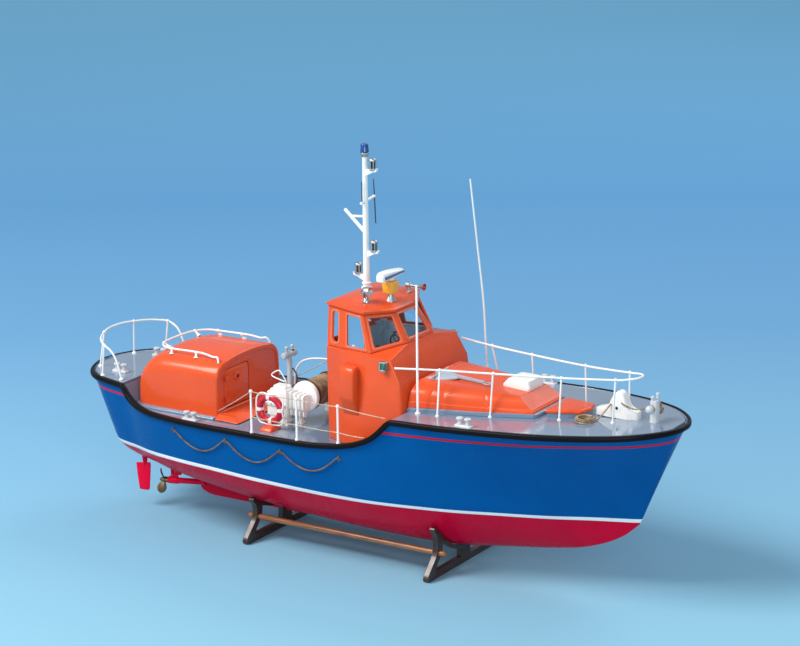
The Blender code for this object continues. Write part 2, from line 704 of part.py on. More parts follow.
def make_winch():
    """The towing winch: gear casing with side frame, and the drum with its rope."""
    foot = WELL_TOP + GAP
    shapes = [
        box((-54.0, -17.0, 65.0), (-39.6, -9.4, 78.0)),
        rod((-47.5, -17.4, 74.2), (-47.5, -9.4, 74.2), 6.4, 16),
        box((-52.6, -16.4, foot), (-49.4, -10.2, 66.0)),
        box((-44.0, -16.4, foot), (-40.4, -10.2, 66.0)),
        box((-41.0, -14.2, 73.0), (DRUM_X, -10.4, 77.0)),
        turned((DRUM_X, -15.6, DRUM_Z), (DRUM_X, -9.4, DRUM_Z),
               [(0, 3.4), (0.25, 4.6), (0.5, 7.75), (1, 7.75)], 20),
        rod((DRUM_X, -9.6, DRUM_Z), (DRUM_X, DRUM_Y[1] + 2.6, DRUM_Z), 1.0, 10),
        box((DRUM_X - 3.0, DRUM_Y[1] + 0.9, foot), (DRUM_X + 3.0, DRUM_Y[1] + 2.5, DRUM_Z + 2.4)),
    ]
    combine("winch_casing", shapes, "rail_white")

    y0, y1 = DRUM_Y
    centre = (DRUM_X, 0.0, DRUM_Z)
    profile = [(0, 7.8), (0.06, 7.8), (0.07, 6.6)]
    profile += [(0.12 + 0.76 * k / 8, 6.6 + 0.35 * (k % 2)) for k in range(9)]
    profile += [(0.93, 6.6), (0.94, 7.8), (1, 7.8)]
    body = turned((DRUM_X, y0, DRUM_Z), (DRUM_X, y1, DRUM_Z), profile, 18)
    bore = rod((DRUM_X, y0 - 1, DRUM_Z), (DRUM_X, y1 + 1, DRUM_Z), 1.35, 10)
    combine("winch_drum", [body], "rope_brown", origin=centre, cuts=[bore])


def outline_ring(corners, z=None):
    """A closed ring round the wheelhouse from its port corners."""
    port = [(c[0], c[1], z if z is not None else c[2]) for c in corners]
    return port + mirror(port[::-1])


def inset_ring(ring, amount):
    """The same ring moved inwards by the wall's thickness, level by level."""
    pts = [np.array(p[:2]) for p in ring]
    count = len(pts)
    moved = []
    for i in range(count):
        before = pts[i] - pts[i - 1]
        after = pts[(i + 1) % count] - pts[i]
        n1 = np.array((-before[1], before[0])) / np.linalg.norm(before)
        n2 = np.array((-after[1], after[0])) / np.linalg.norm(after)
        n = n1 + n2
        n /= 1 + np.dot(n1, n2)
        centre = np.mean(pts, axis=0)
        if np.dot(n, centre - pts[i]) < 0:
            n = -n
        p = pts[i] + n * amount
        moved.append((p[0], p[1], ring[i][2]))
    return moved


def make_house_body():
    """Lower part of the wheelhouse, hollow, with a sloped ledge that carries the windows."""
    outer = [outline_ring(corners, z) for z, corners in HOUSE_LEVELS]
    ledge = outline_ring([(x, y, z - GAP) for x, y, z in BAND_BASE])
    throat = inset_ring(ledge, HOUSE_WALL)
    under = [(x, y, 105.6) for x, y, z in inset_ring(outer[-1], 2.0)]
    inner = [inset_ring(ring, HOUSE_WALL) for ring in outer[:-1]]
    inner[0] = [(x, y, z + HOUSE_WALL) for x, y, z in inner[0]]
    shell = loft(outer + [ledge, throat, under] + inner[::-1])
    doorway = box((-14.0, -9.0, WELL_TOP + 4.0), (-9.0, 9.0, 120.0))
    combine("wheelhouse_body", [shell], "house_orange", cuts=[doorway])


def facet(base, top, share, inward):
    """A point on a wall panel at shares across and up, moved inwards."""
    (a, b), (c, d) = base, top
    low = np.array(a) + (np.array(b) - np.array(a)) * share[0]
    high = np.array(c) + (np.array(d) - np.array(c)) * share[0]
    return low + (high - low) * share[1] + inward


def wall_panels():
    """Panels of the window band, from the aft doorway round the bow side to the doorway."""
    port_base = [(-12.0, 9.2, 108.4)] + BAND_BASE
    port_top = [(-12.6, 9.2, 127.8)] + BAND_TOP
    base = port_base + mirror(port_base[::-1])
    top = port_top + mirror(port_top[::-1])
    return base, top


def wall_corner(points, i, depth):
    """Corner of the band moved inwards by a depth, square to both walls that meet there."""
    p = np.array(points[i])
    first, last = i == 0, i == len(points) - 1
    before = np.array(points[max(0, i - 1)]) - p if not first else p - np.array(points[1])
    after = np.array(points[min(len(points) - 1, i + 1)]) - p if not last else p - np.array(points[i - 1])
    b, a = before[:2] / np.linalg.norm(before[:2]), after[:2] / np.linalg.norm(after[:2])
    n1, n2 = np.array((b[1], -b[0])), np.array((-a[1], a[0]))
    centre = np.array((3.0, 0.0)) - p[:2]
    n1 *= math.copysign(1, np.dot(n1, centre))
    n2 *= math.copysign(1, np.dot(n2, centre))
    n = (n1 + n2) / (1 + np.dot(n1, n2))
    return np.array((p[0] + n[0] * depth, p[1] + n[1] * depth, p[2]))


def make_window_band():
    """The window band as one body: every wall panel is a frame round its opening."""
    base, top = wall_panels()
    wall = 1.0
    verts, faces = [], []

    def add(p):
        verts.append(tuple(p))
        return len(verts) - 1

    corners = []
    for i in range(len(base)):
        corners.append([add(wall_corner(base, i, 0)), add(wall_corner(top, i, 0)),
                        add(wall_corner(base, i, wall)), add(wall_corner(top, i, wall))])
    for i, window in enumerate(PANEL_WINDOWS):
        ob, ot, ib, it = corners[i]
        nb, nt, jb, jt = corners[i + 1]
        faces += [(ob, nb, jb, ib), (ot, it, jt, nt)]
        if window is None:
            faces += [(ob, ot, nt, nb), (ib, jb, jt, it)]
            continue
        left, right, low, high = window
        shares = [(left, low), (right, low), (right, high), (left, high)]
        outer, inner = [], []
        for share in shares:
            outer.append(add(facet((verts[ob], verts[nb]), (verts[ot], verts[nt]), share, 0)))
            inner.append(add(facet((verts[ib], verts[jb]), (verts[it], verts[jt]), share, 0)))
        rim, back = [ob, nb, nt, ot], [ib, jb, jt, it]
        for k in range(4):
            n = (k + 1) % 4
            faces += [(rim[k], rim[n], outer[n], outer[k]), (back[n], back[k], inner[k], inner[n]),
                      (outer[k], outer[n], inner[n], inner[k])]
    first, last = corners[0], corners[-1]
    faces += [(first[0], first[2], first[3], first[1]), (last[0], last[1], last[3], last[2])]
    add_object("wheelhouse_windows", verts, faces, "house_orange", sharp=20)

    pane_in, pane_out = wall + 0.8, wall + 1.3
    rings = []
    for i in range(1, len(base) - 1):
        low_out, high_out = wall_corner(base, i, pane_in), wall_corner(top, i, pane_in)
        low_in, high_in = wall_corner(base, i, pane_out), wall_corner(top, i, pane_out)
        rise = np.array((0, 0, 0.9))
        drop = np.array((0, 0, -0.4))
        rings.append([low_out + rise, high_out + drop, high_in + drop, low_in + rise])
    add_object("wheelhouse_glazing", *loft(rings), "glass_tint", sharp=20)


def make_roof():
    """The crowned wheelhouse roof, a thin plate that stands a little past the walls."""
    edge = outline_ring(ROOF_EDGE)
    centre = np.mean([np.array(p) for p in edge], axis=0)
    rings = []

    def shrunk(share, rise):
        return [tuple(centre * (1 - share) + np.array(p) * share
                      + np.array((0, 0, (p[2] - centre[2]) * (1 - share) + rise))) for p in edge]

    for share, rise in ((0.2, 2.3 - ROOF_THICKNESS), (0.6, 1.5 - ROOF_THICKNESS),
                        (1.0, -ROOF_THICKNESS + 0.9), (1.0, 0.9), (0.94, 1.35),
                        (0.6, 1.5 + 1.0), (0.2, ROOF_CROWN + 0.7)):
        rings.append(shrunk(share, rise))
    add_object("wheelhouse_roof", *loft(rings), "house_orange", sharp=50)


def make_house_fittings():
    """Helm console inside, locker and side lights outside."""
    floor = WELL_TOP + GAP + HOUSE_WALL + GAP
    side = [(7.0, floor), (20.0, floor), (22.5, 104.0), (18.0, 112.5), (12.0, 112.5), (9.0, 106.0)]
    shapes = [prism(side, "y", -15.0, 15.0),
              rod((7.5, 6.0, 105.0), (9.6, 6.0, 106.0), 5.0, 14),
              box((-3.0, 2.0, floor), (1.0, 10.0, 90.0)),
              box((-5.0, 1.0, 89.0), (2.0, 11.0, 92.0)),
              box((-4.8, 1.2, 91.0), (-3.0, 10.8, 103.0)),
              box((-3.0, 2.0, floor), (10.0, 10.0, floor + 2.0))]
    combine("helm_console", shapes, "fitting_grey")

    wall_y = 30.2
    outline = [(wall_y, 77.0), (wall_y, 102.0), (wall_y + 3.0, 101.0), (wall_y + 4.2, 99.0),
               (wall_y + 4.2, 86.0)]
    verts, faces = prism([(-y, z) for y, z in outline], "x", 1.0, 10.2)
    skew = (32.2 - 29.6) / 16.0
    verts = [(x, y - (x - 1.0) * skew * 0.9 - 0.05, z) for x, y, z in verts]
    add_object("side_locker", verts, faces, "house_orange")

    for name, sign in (("port", 1), ("starboard", -1)):
        y0, y1 = sorted((sign * 32.1, sign * 34.4))
        shapes = [box((24.2, y0, 102.6), (27.6, y1, 107.0)),
                  rod((26.0, sign * 33.6, 103.4), (26.0, sign * 33.6, 106.2), 1.2, 10)]
        combine("sidelight_" + name, shapes, "fitting_grey")


def make_mast():
    """The mast with its collar, brackets, lanterns, yard, aerial rod and gaff."""
    x = MAST_X
    shapes = [
        turned((x, 0, MAST_BASE), (x, 0, MAST_TOP), [(0, MAST_RADIUS + 0.2), (1, MAST_RADIUS - 0.2)],
               12),
        turned((x, 0, MAST_BASE), (x, 0, MAST_BASE + 3.0), [(0, 2.6), (0.35, 2.6), (0.5, 1.9), (1, 1.9)],
               10),
        turned((x, 0, 196.4), (x, 0, 200.6), [(0, 1.5), (0.45, 2.0), (0.6, 2.3), (1, 2.3)], 12),
        rod((x, -4.2, 175.6), (x, 8.6, 177.4), 0.7),
        rod((x + 0.2, 8.0, 163.5), (x + 0.2, 8.0, 186.0), 0.4, 6),
        tube([(x, 0, 160.4), (-8.6, 0, 162.4), (-12.4, 0, 166.4), (-16.4, 0, 171.2)], 0.8, 6),
        rod((-12.4, 0, 168.0), (x, 0, 168.6), 0.6, 6),
    ]
    lanterns = [
        # place along the boat, bottom of the lantern, direction of its bracket
        (0.4, 192.6, 1), (0.5, 151.8, 1), (-8.9, 139.6, -1),
    ]
    for place, bottom, direction in lanterns:
        shapes.append(box((min(x, place - 1.6 * (direction < 0)), -1.0, bottom - 1.4),
                          (max(x, place + 1.6 * (direction > 0)), 1.0, bottom)))
        shapes.append(turned((place, 0, bottom - 0.6), (place, 0, bottom + 5.6),
                             [(0, 1.9), (0.18, 1.9), (0.22, 1.6), (0.78, 1.6), (0.82, 1.9),
                              (0.92, 1.9), (1, 1.0)], 12))
    combine("mast", shapes, "rail_white")
    add_object("beacon", *turned((x, 0, 200.6 + GAP), (x, 0, 205.0),
                                 [(0, 2.2), (0.5, 1.9), (1, 1.2)], 12), "lens_blue")


def make_roof_gear():
    """Searchlight, radar and horn on the wheelhouse roof."""
    z = 130.5
    x, y = 5.2, -15.0
    shapes = [turned((x, y, z), (x, y, z + 2.6), [(0, 1.9), (0.3, 1.6), (0.6, 0.8), (1, 0.8)], 10),
              turned((x - 2.2, y, z + 4.6), (x + 2.4, y, z + 4.6),
                     [(0, 1.2), (0.3, 2.2), (0.6, 2.6), (1, 2.6)], 14)]
    combine("searchlight", shapes, "silver")

    rx, ry = RADAR_X, RADAR_Y
    shapes = [turned((rx, ry, RADAR_FOOT), (rx, ry, RADAR_FOOT + 4.0), [(0, 2.5), (1, 1.2)], 12),
              turned((rx, ry, RADAR_FOOT + 3.4), (rx, ry, RADAR_FOOT + 9.6),
                     [(0, 3.3), (0.1, 3.6), (0.9, 3.6), (1, 3.3)], 14)]
    combine("radar_gearbox", shapes, "gearbox_yellow")

    bottom = RADAR_FOOT + 9.6 + GAP
    section = [(-2.6, bottom + 1.2), (2.6, bottom + 1.2), (2.6, bottom + 3.6), (1.6, bottom + 5.2),
               (-1.0, bottom + 5.8), (-2.6, bottom + 4.2)]
    verts, faces = prism(section, "y", -10.0, 10.0)
    shapes = [([(rx + a, ry + b, c) for a, b, c in verts], faces),
              rod((rx, ry, bottom), (rx, ry, bottom + 2.0), 1.8, 12)]
    combine("radar_scanner", shapes, "rail_white", origin=(rx, ry, bottom))

    hx, hy, hz = 13.6, 15.6, 132.4
    shapes = [turned((hx - 4.6, hy, hz), (hx + 6.0, hy, hz),
                     [(0, 1.3), (0.2, 1.3), (0.25, 0.7), (0.6, 0.7), (0.85, 1.2), (1, 1.8)], 12),
              rod((hx - 3.2, hy, 129.6), (hx - 3.2, hy, hz), 1.1, 8),
              rod((hx + 1.6, hy, 129.3), (hx + 1.6, hy, hz), 0.6, 8)]
    combine("horn", shapes, "silver")


def make_trunk_cabin():
    """The turtle-backed cabin on the fore deck."""
    rings = []
    for (bx, by), (tx, ty, tz) in zip(TRUNK_BASE, TRUNK_TOP):
        floor = smooth(SHEER, bx) + 0.25
        lean = tx - bx
        wall = floor + (tz - floor) * 0.40
        side = [(bx, by + 0.4, floor), (bx, by + 0.4, floor + 1.2), (bx, by, floor + 1.3),
                (bx + lean * 0.15, by - 0.4, wall)]
        for k in range(1, 5):
            turn = math.pi / 2 * k / 4
            side.append((bx + lean * (0.15 + 0.85 * math.sin(turn)),
                         ty + (by - 0.4 - ty) * math.cos(turn),
                         wall + (tz - wall) * math.sin(turn)))
        rings.append(side + mirror(side[::-1]))
    add_object("trunk_cabin", *loft(rings), "house_orange", sharp=40)


def make_fore_deck_gear():
    """Vent box, anchor, hatch, windlass, post and coil on the fore deck."""
    add_object("vent_box", *loft([
        [(74.0, -4.4, 97.9), (86.5, -4.4, 97.2), (86.5, 6.4, 97.2), (74.0, 6.4, 97.9)],
        [(74.6, -3.9, 101.0), (84.0, -3.9, 101.2), (84.0, 5.9, 101.2), (74.6, 5.9, 101.0)],
    ]), "rail_white")

    stock_z = 99.6
    shapes = [rod((41.0, -8.0, stock_z + 0.9), (68.0, -8.0, stock_z + 0.2), 0.6, 8),
              prism([(38.0, -14.4), (40.6, -14.8), (50.0, -11.6), (54.0, -8.0), (50.0, -4.4),
                     (40.6, -1.2), (38.0, -1.6), (44.0, -7.0), (44.0, -9.0)], "z",
                    stock_z, stock_z + 0.9),
              rod((42.6, -16.0, stock_z + 0.9), (42.6, 0.0, stock_z + 0.9), 0.5, 6)]
    combine("anchor", shapes, "fitting_grey")

    x0, x1 = HATCH_X
    floor0, floor1 = smooth(SHEER, x0) + 0.25, smooth(SHEER, x1) + 0.25
    nose = x1 + 3.6
    nose_floor = smooth(SHEER, nose) + 0.25
    base = [(x0, 9.8, floor0), (x1, 9.8, floor1), (nose, 0.0, nose_floor)]
    lid = [(x0, 9.8, floor0 + 2.6), (x1, 9.8, floor1 + 2.2), (nose, 0.0, nose_floor + 2.0)]
    top = [(x0 + 0.8, 9.0, floor0 + 3.6), (x1 - 0.6, 9.0, floor1 + 3.2),
           (nose - 1.4, 0.0, nose_floor + 3.2)]
    rings = [row + mirror(row[1::-1]) for row in (base, lid, top)]
    add_object("fore_hatch", *loft(rings), "house_orange")

    x = WINDLASS_X
    foot = smooth(SHEER, x + 9.8) + 0.2
    shapes = [box((x - 9.6, -6.2, foot), (x + 9.8, 6.2, foot + 1.2)),
              turned((x - 10.8, 0, foot + 4.4), (x + 10.8, 0, foot + 4.4),
                     [(0, 3.2), (0.12, 3.6), (0.16, 3.0), (0.84, 3.0), (0.88, 3.6), (1, 3.2)], 14),
              loft([[(x + a, b, foot + 0.8) for a, b in ((-6, -5.8), (6, -5.8), (6, 5.8), (-6, 5.8))],
                    [(x + a, b, foot + 7.5) for a, b in ((-5.4, -5.2), (5, -5.2), (5, 5.2),
                                                         (-5.4, 5.2))],
                    [(x + a, b, foot + 12.6) for a, b in ((-3, -3), (2, -3), (2, 3), (-3, 3))]])]
    combine("windlass", shapes, "rail_white")

    x = SAMSON_X
    foot = smooth(SHEER, x) + 0.25
    shapes = [rod((x, 0, foot), (x, 0, foot + 11.0), 2.2, 14),
              rod((x, -5.2, foot + 7.4), (x, 5.2, foot + 7.4), 0.9, 8),
              ball((x, -5.4, foot + 7.4), 2.0),
              rod((x - 0.6, -1.0, foot + 10.0), (x - 0.6, -1.0, foot + 13.0), 0.6, 6),
              rod((x + 0.8, 1.2, foot + 10.0), (x + 0.8, 1.2, foot + 14.2), 0.6, 6)]
    combine("samson_post", shapes, "fitting_grey")

    x, y = 123.6, -10.8
    foot = smooth(SHEER, x) + 0.3
    profile = [(2.4, 0.0), (5.0, 0.0), (5.3, 1.1), (4.2, 2.2), (2.6, 2.0)]
    turn = [2 * math.pi * k / 18 for k in range(18)]
    rings = [[(x + r * math.cos(t), y + r * math.sin(t), foot + h) for r, h in profile] for t in turn]
    add_object("rope_coil", *loft(rings, closed=True), "rope_brown")


def make_rails():
    """Bow rail, stern rail and the guard rails beside the well."""
    path = BOW_RAIL + [(145.6, 4.2, 108.8), (147.8, 0.0, 109.0)]
    wire = spline(path + mirror(path[-2::-1]), 3)
    shapes = [tube(wire, WIRE, 6)]
    for (x, y), top in zip(BOW_RAIL_FEET, BOW_RAIL[1:]):
        for sign in (1, -1):
            shapes.append(rod((x, y * sign, smooth(SHEER, x) + 0.25),
                              (top[0], top[1] * sign, top[2] + 0.1), 0.45, 5))
    combine("bow_rail", shapes, "rail_white")

    path = [(-138.0, 28.0, 73.3)] + STERN_RAIL[1:] + [(-162.6, 6.0, 92.0), (-163.2, 0.0, 92.0)]
    wire = spline(path + mirror(path[-2::-1]), 3)
    shapes = [tube(wire, WIRE, 6)]
    for (x, y), top in zip(STERN_RAIL_FEET, (STERN_RAIL[2], STERN_RAIL[4])):
        for sign in (1, -1):
            shapes.append(rod((x, y * sign, smooth(SHEER, x) + 0.2),
                              (top[0], top[1] * sign, top[2]), WIRE, 6))
    combine("stern_rail", shapes, "rail_white")

    for name, sign in (("port", 1), ("starboard", -1)):
        tops, shapes = [], []
        for x in GUARD_X:
            y = (half_breadth(x) - 0.7) * sign
            foot = smooth(SHEER, x) + GAP
            shapes.append(rod((x, y, foot), (x, y, GUARD_TOP), 0.6, 6))
            tops.append((x, y, GUARD_TOP - 0.5))
        upper = [(CABIN_FRONT + 1.2, sign * 28.6, 66.0)] + tops + [(35.0, sign * 45.8, 83.6)]
        for a, b in zip(upper, upper[1:]):
            shapes.append(rod(a, b, 0.3, 6))
        mids = [(x, y, z - 13.0) for x, y, z in tops]
        for a, b in zip(mids, mids[1:]):
            shapes.append(rod(a, b, 0.3, 6))
        combine("guard_rail_" + name, shapes, "rail_white")


def make_lifebuoy():
    """The lifebuoy that stands on its chock by the winch."""
    centre = np.array((-44.0, -28.5, 71.6))
    ring, thick = 6.2, 1.75
    rings = []
    for k in range(24):
        t = 2 * math.pi * k / 24
        out = np.array((math.cos(t), 0, math.sin(t)))
        rings.append([centre + out * (ring + thick * math.cos(s)) + np.array((0, thick * math.sin(s), 0))
                      for s in [2 * math.pi * j / 8 for j in range(8)]])
    add_object("lifebuoy", *loft(rings, closed=True), "buoy_red")
    foot = WELL_TOP + GAP
    base = [(-48.6, -24.0), (-39.6, -24.0), (-39.6, -33.4), (-48.6, -33.4)]
    top = [(-47.6, -26.0), (-40.6, -26.0), (-40.6, -31.4), (-47.6, -31.4)]
    rings = [[(x, y, foot) for x, y in base], [(x, y, 63.3) for x, y in top]]
    add_object("lifebuoy_chock", *loft(rings), "house_orange")


def make_bollards():
    """Twin-post bollards, one on each side at three places."""
    for name, x, across, deck in BOLLARDS:
        foot = (deck if deck else smooth(SHEER, x) - 0.1) + GAP
        foot += 0.1 if deck is None else 0.0
        for side, sign in (("port", 1), ("starboard", -1)):
            y = across * sign
            shapes = [box((x - 4.4, y - 1.7, foot), (x + 4.4, y + 1.7, foot + 0.8))]
            for place in (x - 2.2, x + 2.2):
                shapes.append(turned((place, y, foot + 0.4), (place, y, foot + 4.4),
                                     [(0, 1.1), (0.75, 1.0), (0.8, 1.7), (1, 1.5)], 10))
            combine(name + "_" + side, shapes, "fitting_grey")


def make_grab_lines():
    """A rope along each side that hangs in three bights between its eyelets."""
    for name, sign in (("port", 1), ("starboard", -1)):
        points = []
        for a, b in zip(GRAB_EYES, GRAB_EYES[1:]):
            for k in range(8):
                t = k / 8
                x = a + (b - a) * t
                z = GRAB_Z - GRAB_SAG * 4 * t * (1 - t)
                points.append((x, (topside(x, z) + GAP + 0.55) * sign, z))
        points.append((GRAB_EYES[-1], (topside(GRAB_EYES[-1], GRAB_Z) + GAP + 0.55) * sign, GRAB_Z))
        curve = bpy.data.curves.new("grab_line_" + name, "CURVE")
        curve.dimensions = "3D"
        line = curve.splines.new("POLY")
        line.points.add(len(points) - 1)
        for spot, p in zip(line.points, points):
            spot.co = (p[0] * MM, p[1] * MM, p[2] * MM, 1.0)
        curve.bevel_depth = 0.4 * MM
        curve.bevel_resolution = 2
        curve.use_fill_caps = True
        curve.materials.append(material("rope_brown"))
        item = bpy.data.objects.new("grab_line_" + name, curve)
        bpy.context.scene.collection.objects.link(item)


def make_aerials():
    """The pole by the trunk cabin and the long whip aerial to port."""
    foot = smooth(SHEER, 44.0) + 0.25
    shapes = [turned((44.0, -31.0, foot), (44.0, -31.0, 147.0), [(0, 0.6), (1, 0.5)], 8),
              turned((44.0, -31.0, foot), (44.0, -31.0, foot + 1.0), [(0, 1.3), (1, 1.1)], 8)]
    combine("pole_aerial", shapes, "rail_white")
    foot = smooth(SHEER, 40.0) + 0.25
    base, elbow, tip = (40.0, 42.0, foot), (38.6, 40.6, 122.0), (34.0, 36.0, 184.5)
    shapes = [tube([base, elbow, tip], 0.55, 8),
              turned(base, (39.8, 41.8, foot + 6.0), [(0, 1.4), (0.5, 1.1), (1, 0.8)], 8)]
    combine("whip_aerial", shapes, "rail_white")


def seat_height(x, y):
    """Height of a trestle's upper edge, just clear of the hull over the board's thickness."""
    half = TRESTLE_THICKNESS / 2
    return min(bottom_height(x - half, y), bottom_height(x + half, y)) - GAP - 0.1


def make_stand():
    """Two open trestle boards joined by two dowels; their saddles follow the hull's bottom."""
    for name, x in zip(("stand_trestle_aft", "stand_trestle_fore"), TRESTLE_X):
        half = TRESTLE_THICKNESS / 2
        keeled = x < 28.0
        inner = KEEL_SLOT if keeled else 0.0
        seat = [(float(y), seat_height(x, y)) for y in np.linspace(TRESTLE_SEAT, inner, 9)]
        head = seat[0][1] + 0.7
        edge = TRESTLE_LEG + [(30.4, head), (28.4, head + 0.1)] + seat
        if keeled:
            edge.append((inner, KEEL_BOTTOM - GAP - 0.1))
        else:
            edge.pop()
        outline = edge + [(-y, z) for y, z in reversed(edge)]
        if not keeled:
            outline.insert(len(edge), (0.0, seat_height(x, 0.0)))
        cuts = [rod((x - 5, y, DOWEL_Z), (x + 5, y, DOWEL_Z), DOWEL_RADIUS + GAP, 12)
                for y in (-DOWEL_Y, DOWEL_Y)]
        under = [(float(y), seat_height(x, y) - TRESTLE_SADDLE)
                 for y in np.linspace(WINDOW_HEAD[1], WINDOW_HEAD[0], 7)]
        window = [(WINDOW_FOOT[0], TRESTLE_BAR), (WINDOW_FOOT[1], TRESTLE_BAR)] + under
        for shape in (window, [(-y, z) for y, z in window]):
            cuts.append(prism(shape, "x", x - half - 1.0, x + half + 1.0))
        combine(name, [prism(outline, "x", x - half, x + half)], "stand_dark", cuts=cuts)
    for name, sign in (("port", 1), ("starboard", -1)):
        y = DOWEL_Y * sign
        add_object("stand_dowel_" + name,
                   *rod((DOWEL_X[0], y, DOWEL_Z), (DOWEL_X[1], y, DOWEL_Z), DOWEL_RADIUS, 12),
                   "dowel_wood")


clear_scene()
make_hull()
make_deck("fore_deck", FORE_STEP + 0.7, HALF_LENGTH - 2.4,
          lambda x: smooth(SHEER, x) - DECK_BED_DROP + GAP, lambda x: smooth(SHEER, x) - 0.1)
make_deck("well_deck", STERN_STEP + 0.7, FORE_STEP - 0.7,
          lambda x: WELL_BED + GAP, lambda x: WELL_TOP)
make_deck("stern_deck", -HALF_LENGTH + 2.4, STERN_STEP - 0.7,
          lambda x: smooth(SHEER, x) - DECK_BED_DROP + GAP, lambda x: smooth(SHEER, x) - 0.1)
make_strake()
make_keel()
make_running_gear()
make_aft_cabin()
make_cabin_rail()
make_bitt()
make_winch()
make_house_body()
make_window_band()
make_roof()
make_house_fittings()
make_mast()
make_roof_gear()
make_trunk_cabin()
make_fore_deck_gear()
make_rails()
make_lifebuoy()
make_bollards()
make_grab_lines()
make_aerials()
make_stand()
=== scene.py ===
"""Looks of the model lifeboat on its stand, piece by piece in the order that the model is put together.

Sizes are in millimetres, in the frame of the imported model: +X to the bow, +Y to port, +Z up, with
the origin on the floor under the boat's middle. They become metres where a mesh is made.
"""
import math

import bmesh
import bpy
import numpy as np
from mathutils import Matrix, Vector


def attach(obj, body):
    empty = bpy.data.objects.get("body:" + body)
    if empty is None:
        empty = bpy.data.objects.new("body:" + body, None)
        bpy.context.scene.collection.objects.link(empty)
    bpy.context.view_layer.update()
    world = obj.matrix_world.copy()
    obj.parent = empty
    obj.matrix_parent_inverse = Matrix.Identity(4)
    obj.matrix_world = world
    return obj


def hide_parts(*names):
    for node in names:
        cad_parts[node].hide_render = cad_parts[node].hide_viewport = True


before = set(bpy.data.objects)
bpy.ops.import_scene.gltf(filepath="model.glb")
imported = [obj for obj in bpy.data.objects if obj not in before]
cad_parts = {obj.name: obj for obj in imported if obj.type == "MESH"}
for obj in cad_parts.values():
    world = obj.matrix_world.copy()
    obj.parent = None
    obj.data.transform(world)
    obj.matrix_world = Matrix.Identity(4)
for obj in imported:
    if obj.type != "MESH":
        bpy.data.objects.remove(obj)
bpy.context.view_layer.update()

mm = 0.001


def tree(name):
    """A new node material: the material, a function that adds nodes, its shader, its links and the object's
    own coordinates."""
    made = bpy.data.materials.new(name)
    made.use_nodes = True
    nodes, links = made.node_tree.nodes, made.node_tree.links

    def add(kind, **settings):
        """A node with its settings; a setting that names a socket is a value or another node's output."""
        node = nodes.new("ShaderNode" + kind)
        for key, value in settings.items():
            if hasattr(node, key):
                setattr(node, key, value)
                continue
            socket = node.inputs[int(key[1:])] if key[0] == "_" else node.inputs[key.replace("_", " ")]
            if isinstance(value, bpy.types.NodeSocket):
                links.new(value, socket)
            else:
                socket.default_value = value
        return node

    return made, add, nodes["Principled BSDF"], links, add("TexCoord").outputs["Object"]


# The floor's blue is graded along the view: lighter in front of the boat, darker in a band under and beyond it,
# and lighter again far off. This grading is painted light and shade, standing in for the fall of the studio
# light.
floor_finish, add, shader, links, place = tree("studio_floor")
away = add("VectorMath", operation="DOT_PRODUCT", _0=place, _1=(-0.535, 0.845, 0)).outputs["Value"]
spread = add("MapRange", Value=away, From_Min=-0.22, From_Max=2.2).outputs[0]
ramp = add("ValToRGB", Fac=spread)
stops = ramp.color_ramp.elements
stops[0].color, stops[1].color = (0.28, 0.55, 0.69, 1), (0.27, 0.68, 0.96, 1)
stops.new(0.26).color = (0.15, 0.365, 0.61, 1)
stops.new(0.42).color = (0.125, 0.35, 0.63, 1)
links.new(ramp.outputs[0], shader.inputs["Base Color"])
shader.inputs["Roughness"].default_value = 0.9
shader.inputs["Specular IOR Level"].default_value = 0.2
floor_half = 6
floor_mesh = bpy.data.meshes.new("studio_floor")
floor_mesh.from_pydata([(-floor_half, -floor_half, 0), (floor_half, -floor_half, 0),
    (floor_half, floor_half, 0), (-floor_half, floor_half, 0)], [], [(0, 1, 2, 3)])
floor_mesh.materials.append(floor_finish)
floor = bpy.data.objects.new("studio_floor", floor_mesh)
bpy.context.collection.objects.link(floor)

world = bpy.data.worlds.new("studio")
bpy.context.scene.world = world
world.use_nodes = True
air = world.node_tree.nodes["Background"].inputs
air["Color"].default_value, air["Strength"].default_value = (0.72, 0.8, 0.9, 1), 0.5

for light_name, place, size, power, colour in (("main_light", (-0.75, -0.95, 1.35), 0.9, 31, (1, 0.96, 0.91)),
        ("side_light", (0.95, -1.15, 0.62), 0.8, 7.5, (1, 0.98, 0.96)),
        ("back_light", (0.2, 1.2, 1.1), 1, 6, (0.95, 0.98, 1))):
    lamp = bpy.data.lights.new(light_name, "AREA")
    lamp.shape = "DISK"
    lamp.size = size
    lamp.energy = power
    lamp.color = colour
    holder = bpy.data.objects.new(light_name, lamp)
    holder.location = place
    holder.rotation_euler = (Vector((0, 0, 0.07)) - Vector(place)).to_track_quat("-Z", "Y").to_euler()
    bpy.context.collection.objects.link(holder)

camera_turn, camera_tilt, camera_roll = math.radians(32.34), math.radians(15.2), math.radians(-0.72)
camera_distance, focal_pixels, photo_width = 1.31636, 2625.9, 800
camera_target = Vector((0, 0.02359, 0.10961))
back = Vector((math.sin(camera_turn) * math.cos(camera_tilt), -math.cos(camera_turn) * math.cos(camera_tilt),
    math.sin(camera_tilt)))
level = Vector((math.cos(camera_turn), math.sin(camera_turn), 0))
above = back.cross(level)
right = math.cos(camera_roll) * level + math.sin(camera_roll) * above
upward = -math.sin(camera_roll) * level + math.cos(camera_roll) * above
camera_data = bpy.data.cameras.new("camera")
camera_data.lens = camera_data.sensor_width * focal_pixels / photo_width
camera_data.clip_start = 0.05
camera = bpy.data.objects.new("camera", camera_data)
stand_point = camera_target + back * camera_distance
camera.matrix_world = Matrix(((right.x, upward.x, back.x, stand_point.x),
    (right.y, upward.y, back.y, stand_point.y), (right.z, upward.z, back.z, stand_point.z), (0, 0, 0, 1)))
bpy.context.collection.objects.link(camera)
bpy.context.scene.camera = camera
bpy.context.scene.view_settings.view_transform = "Standard"

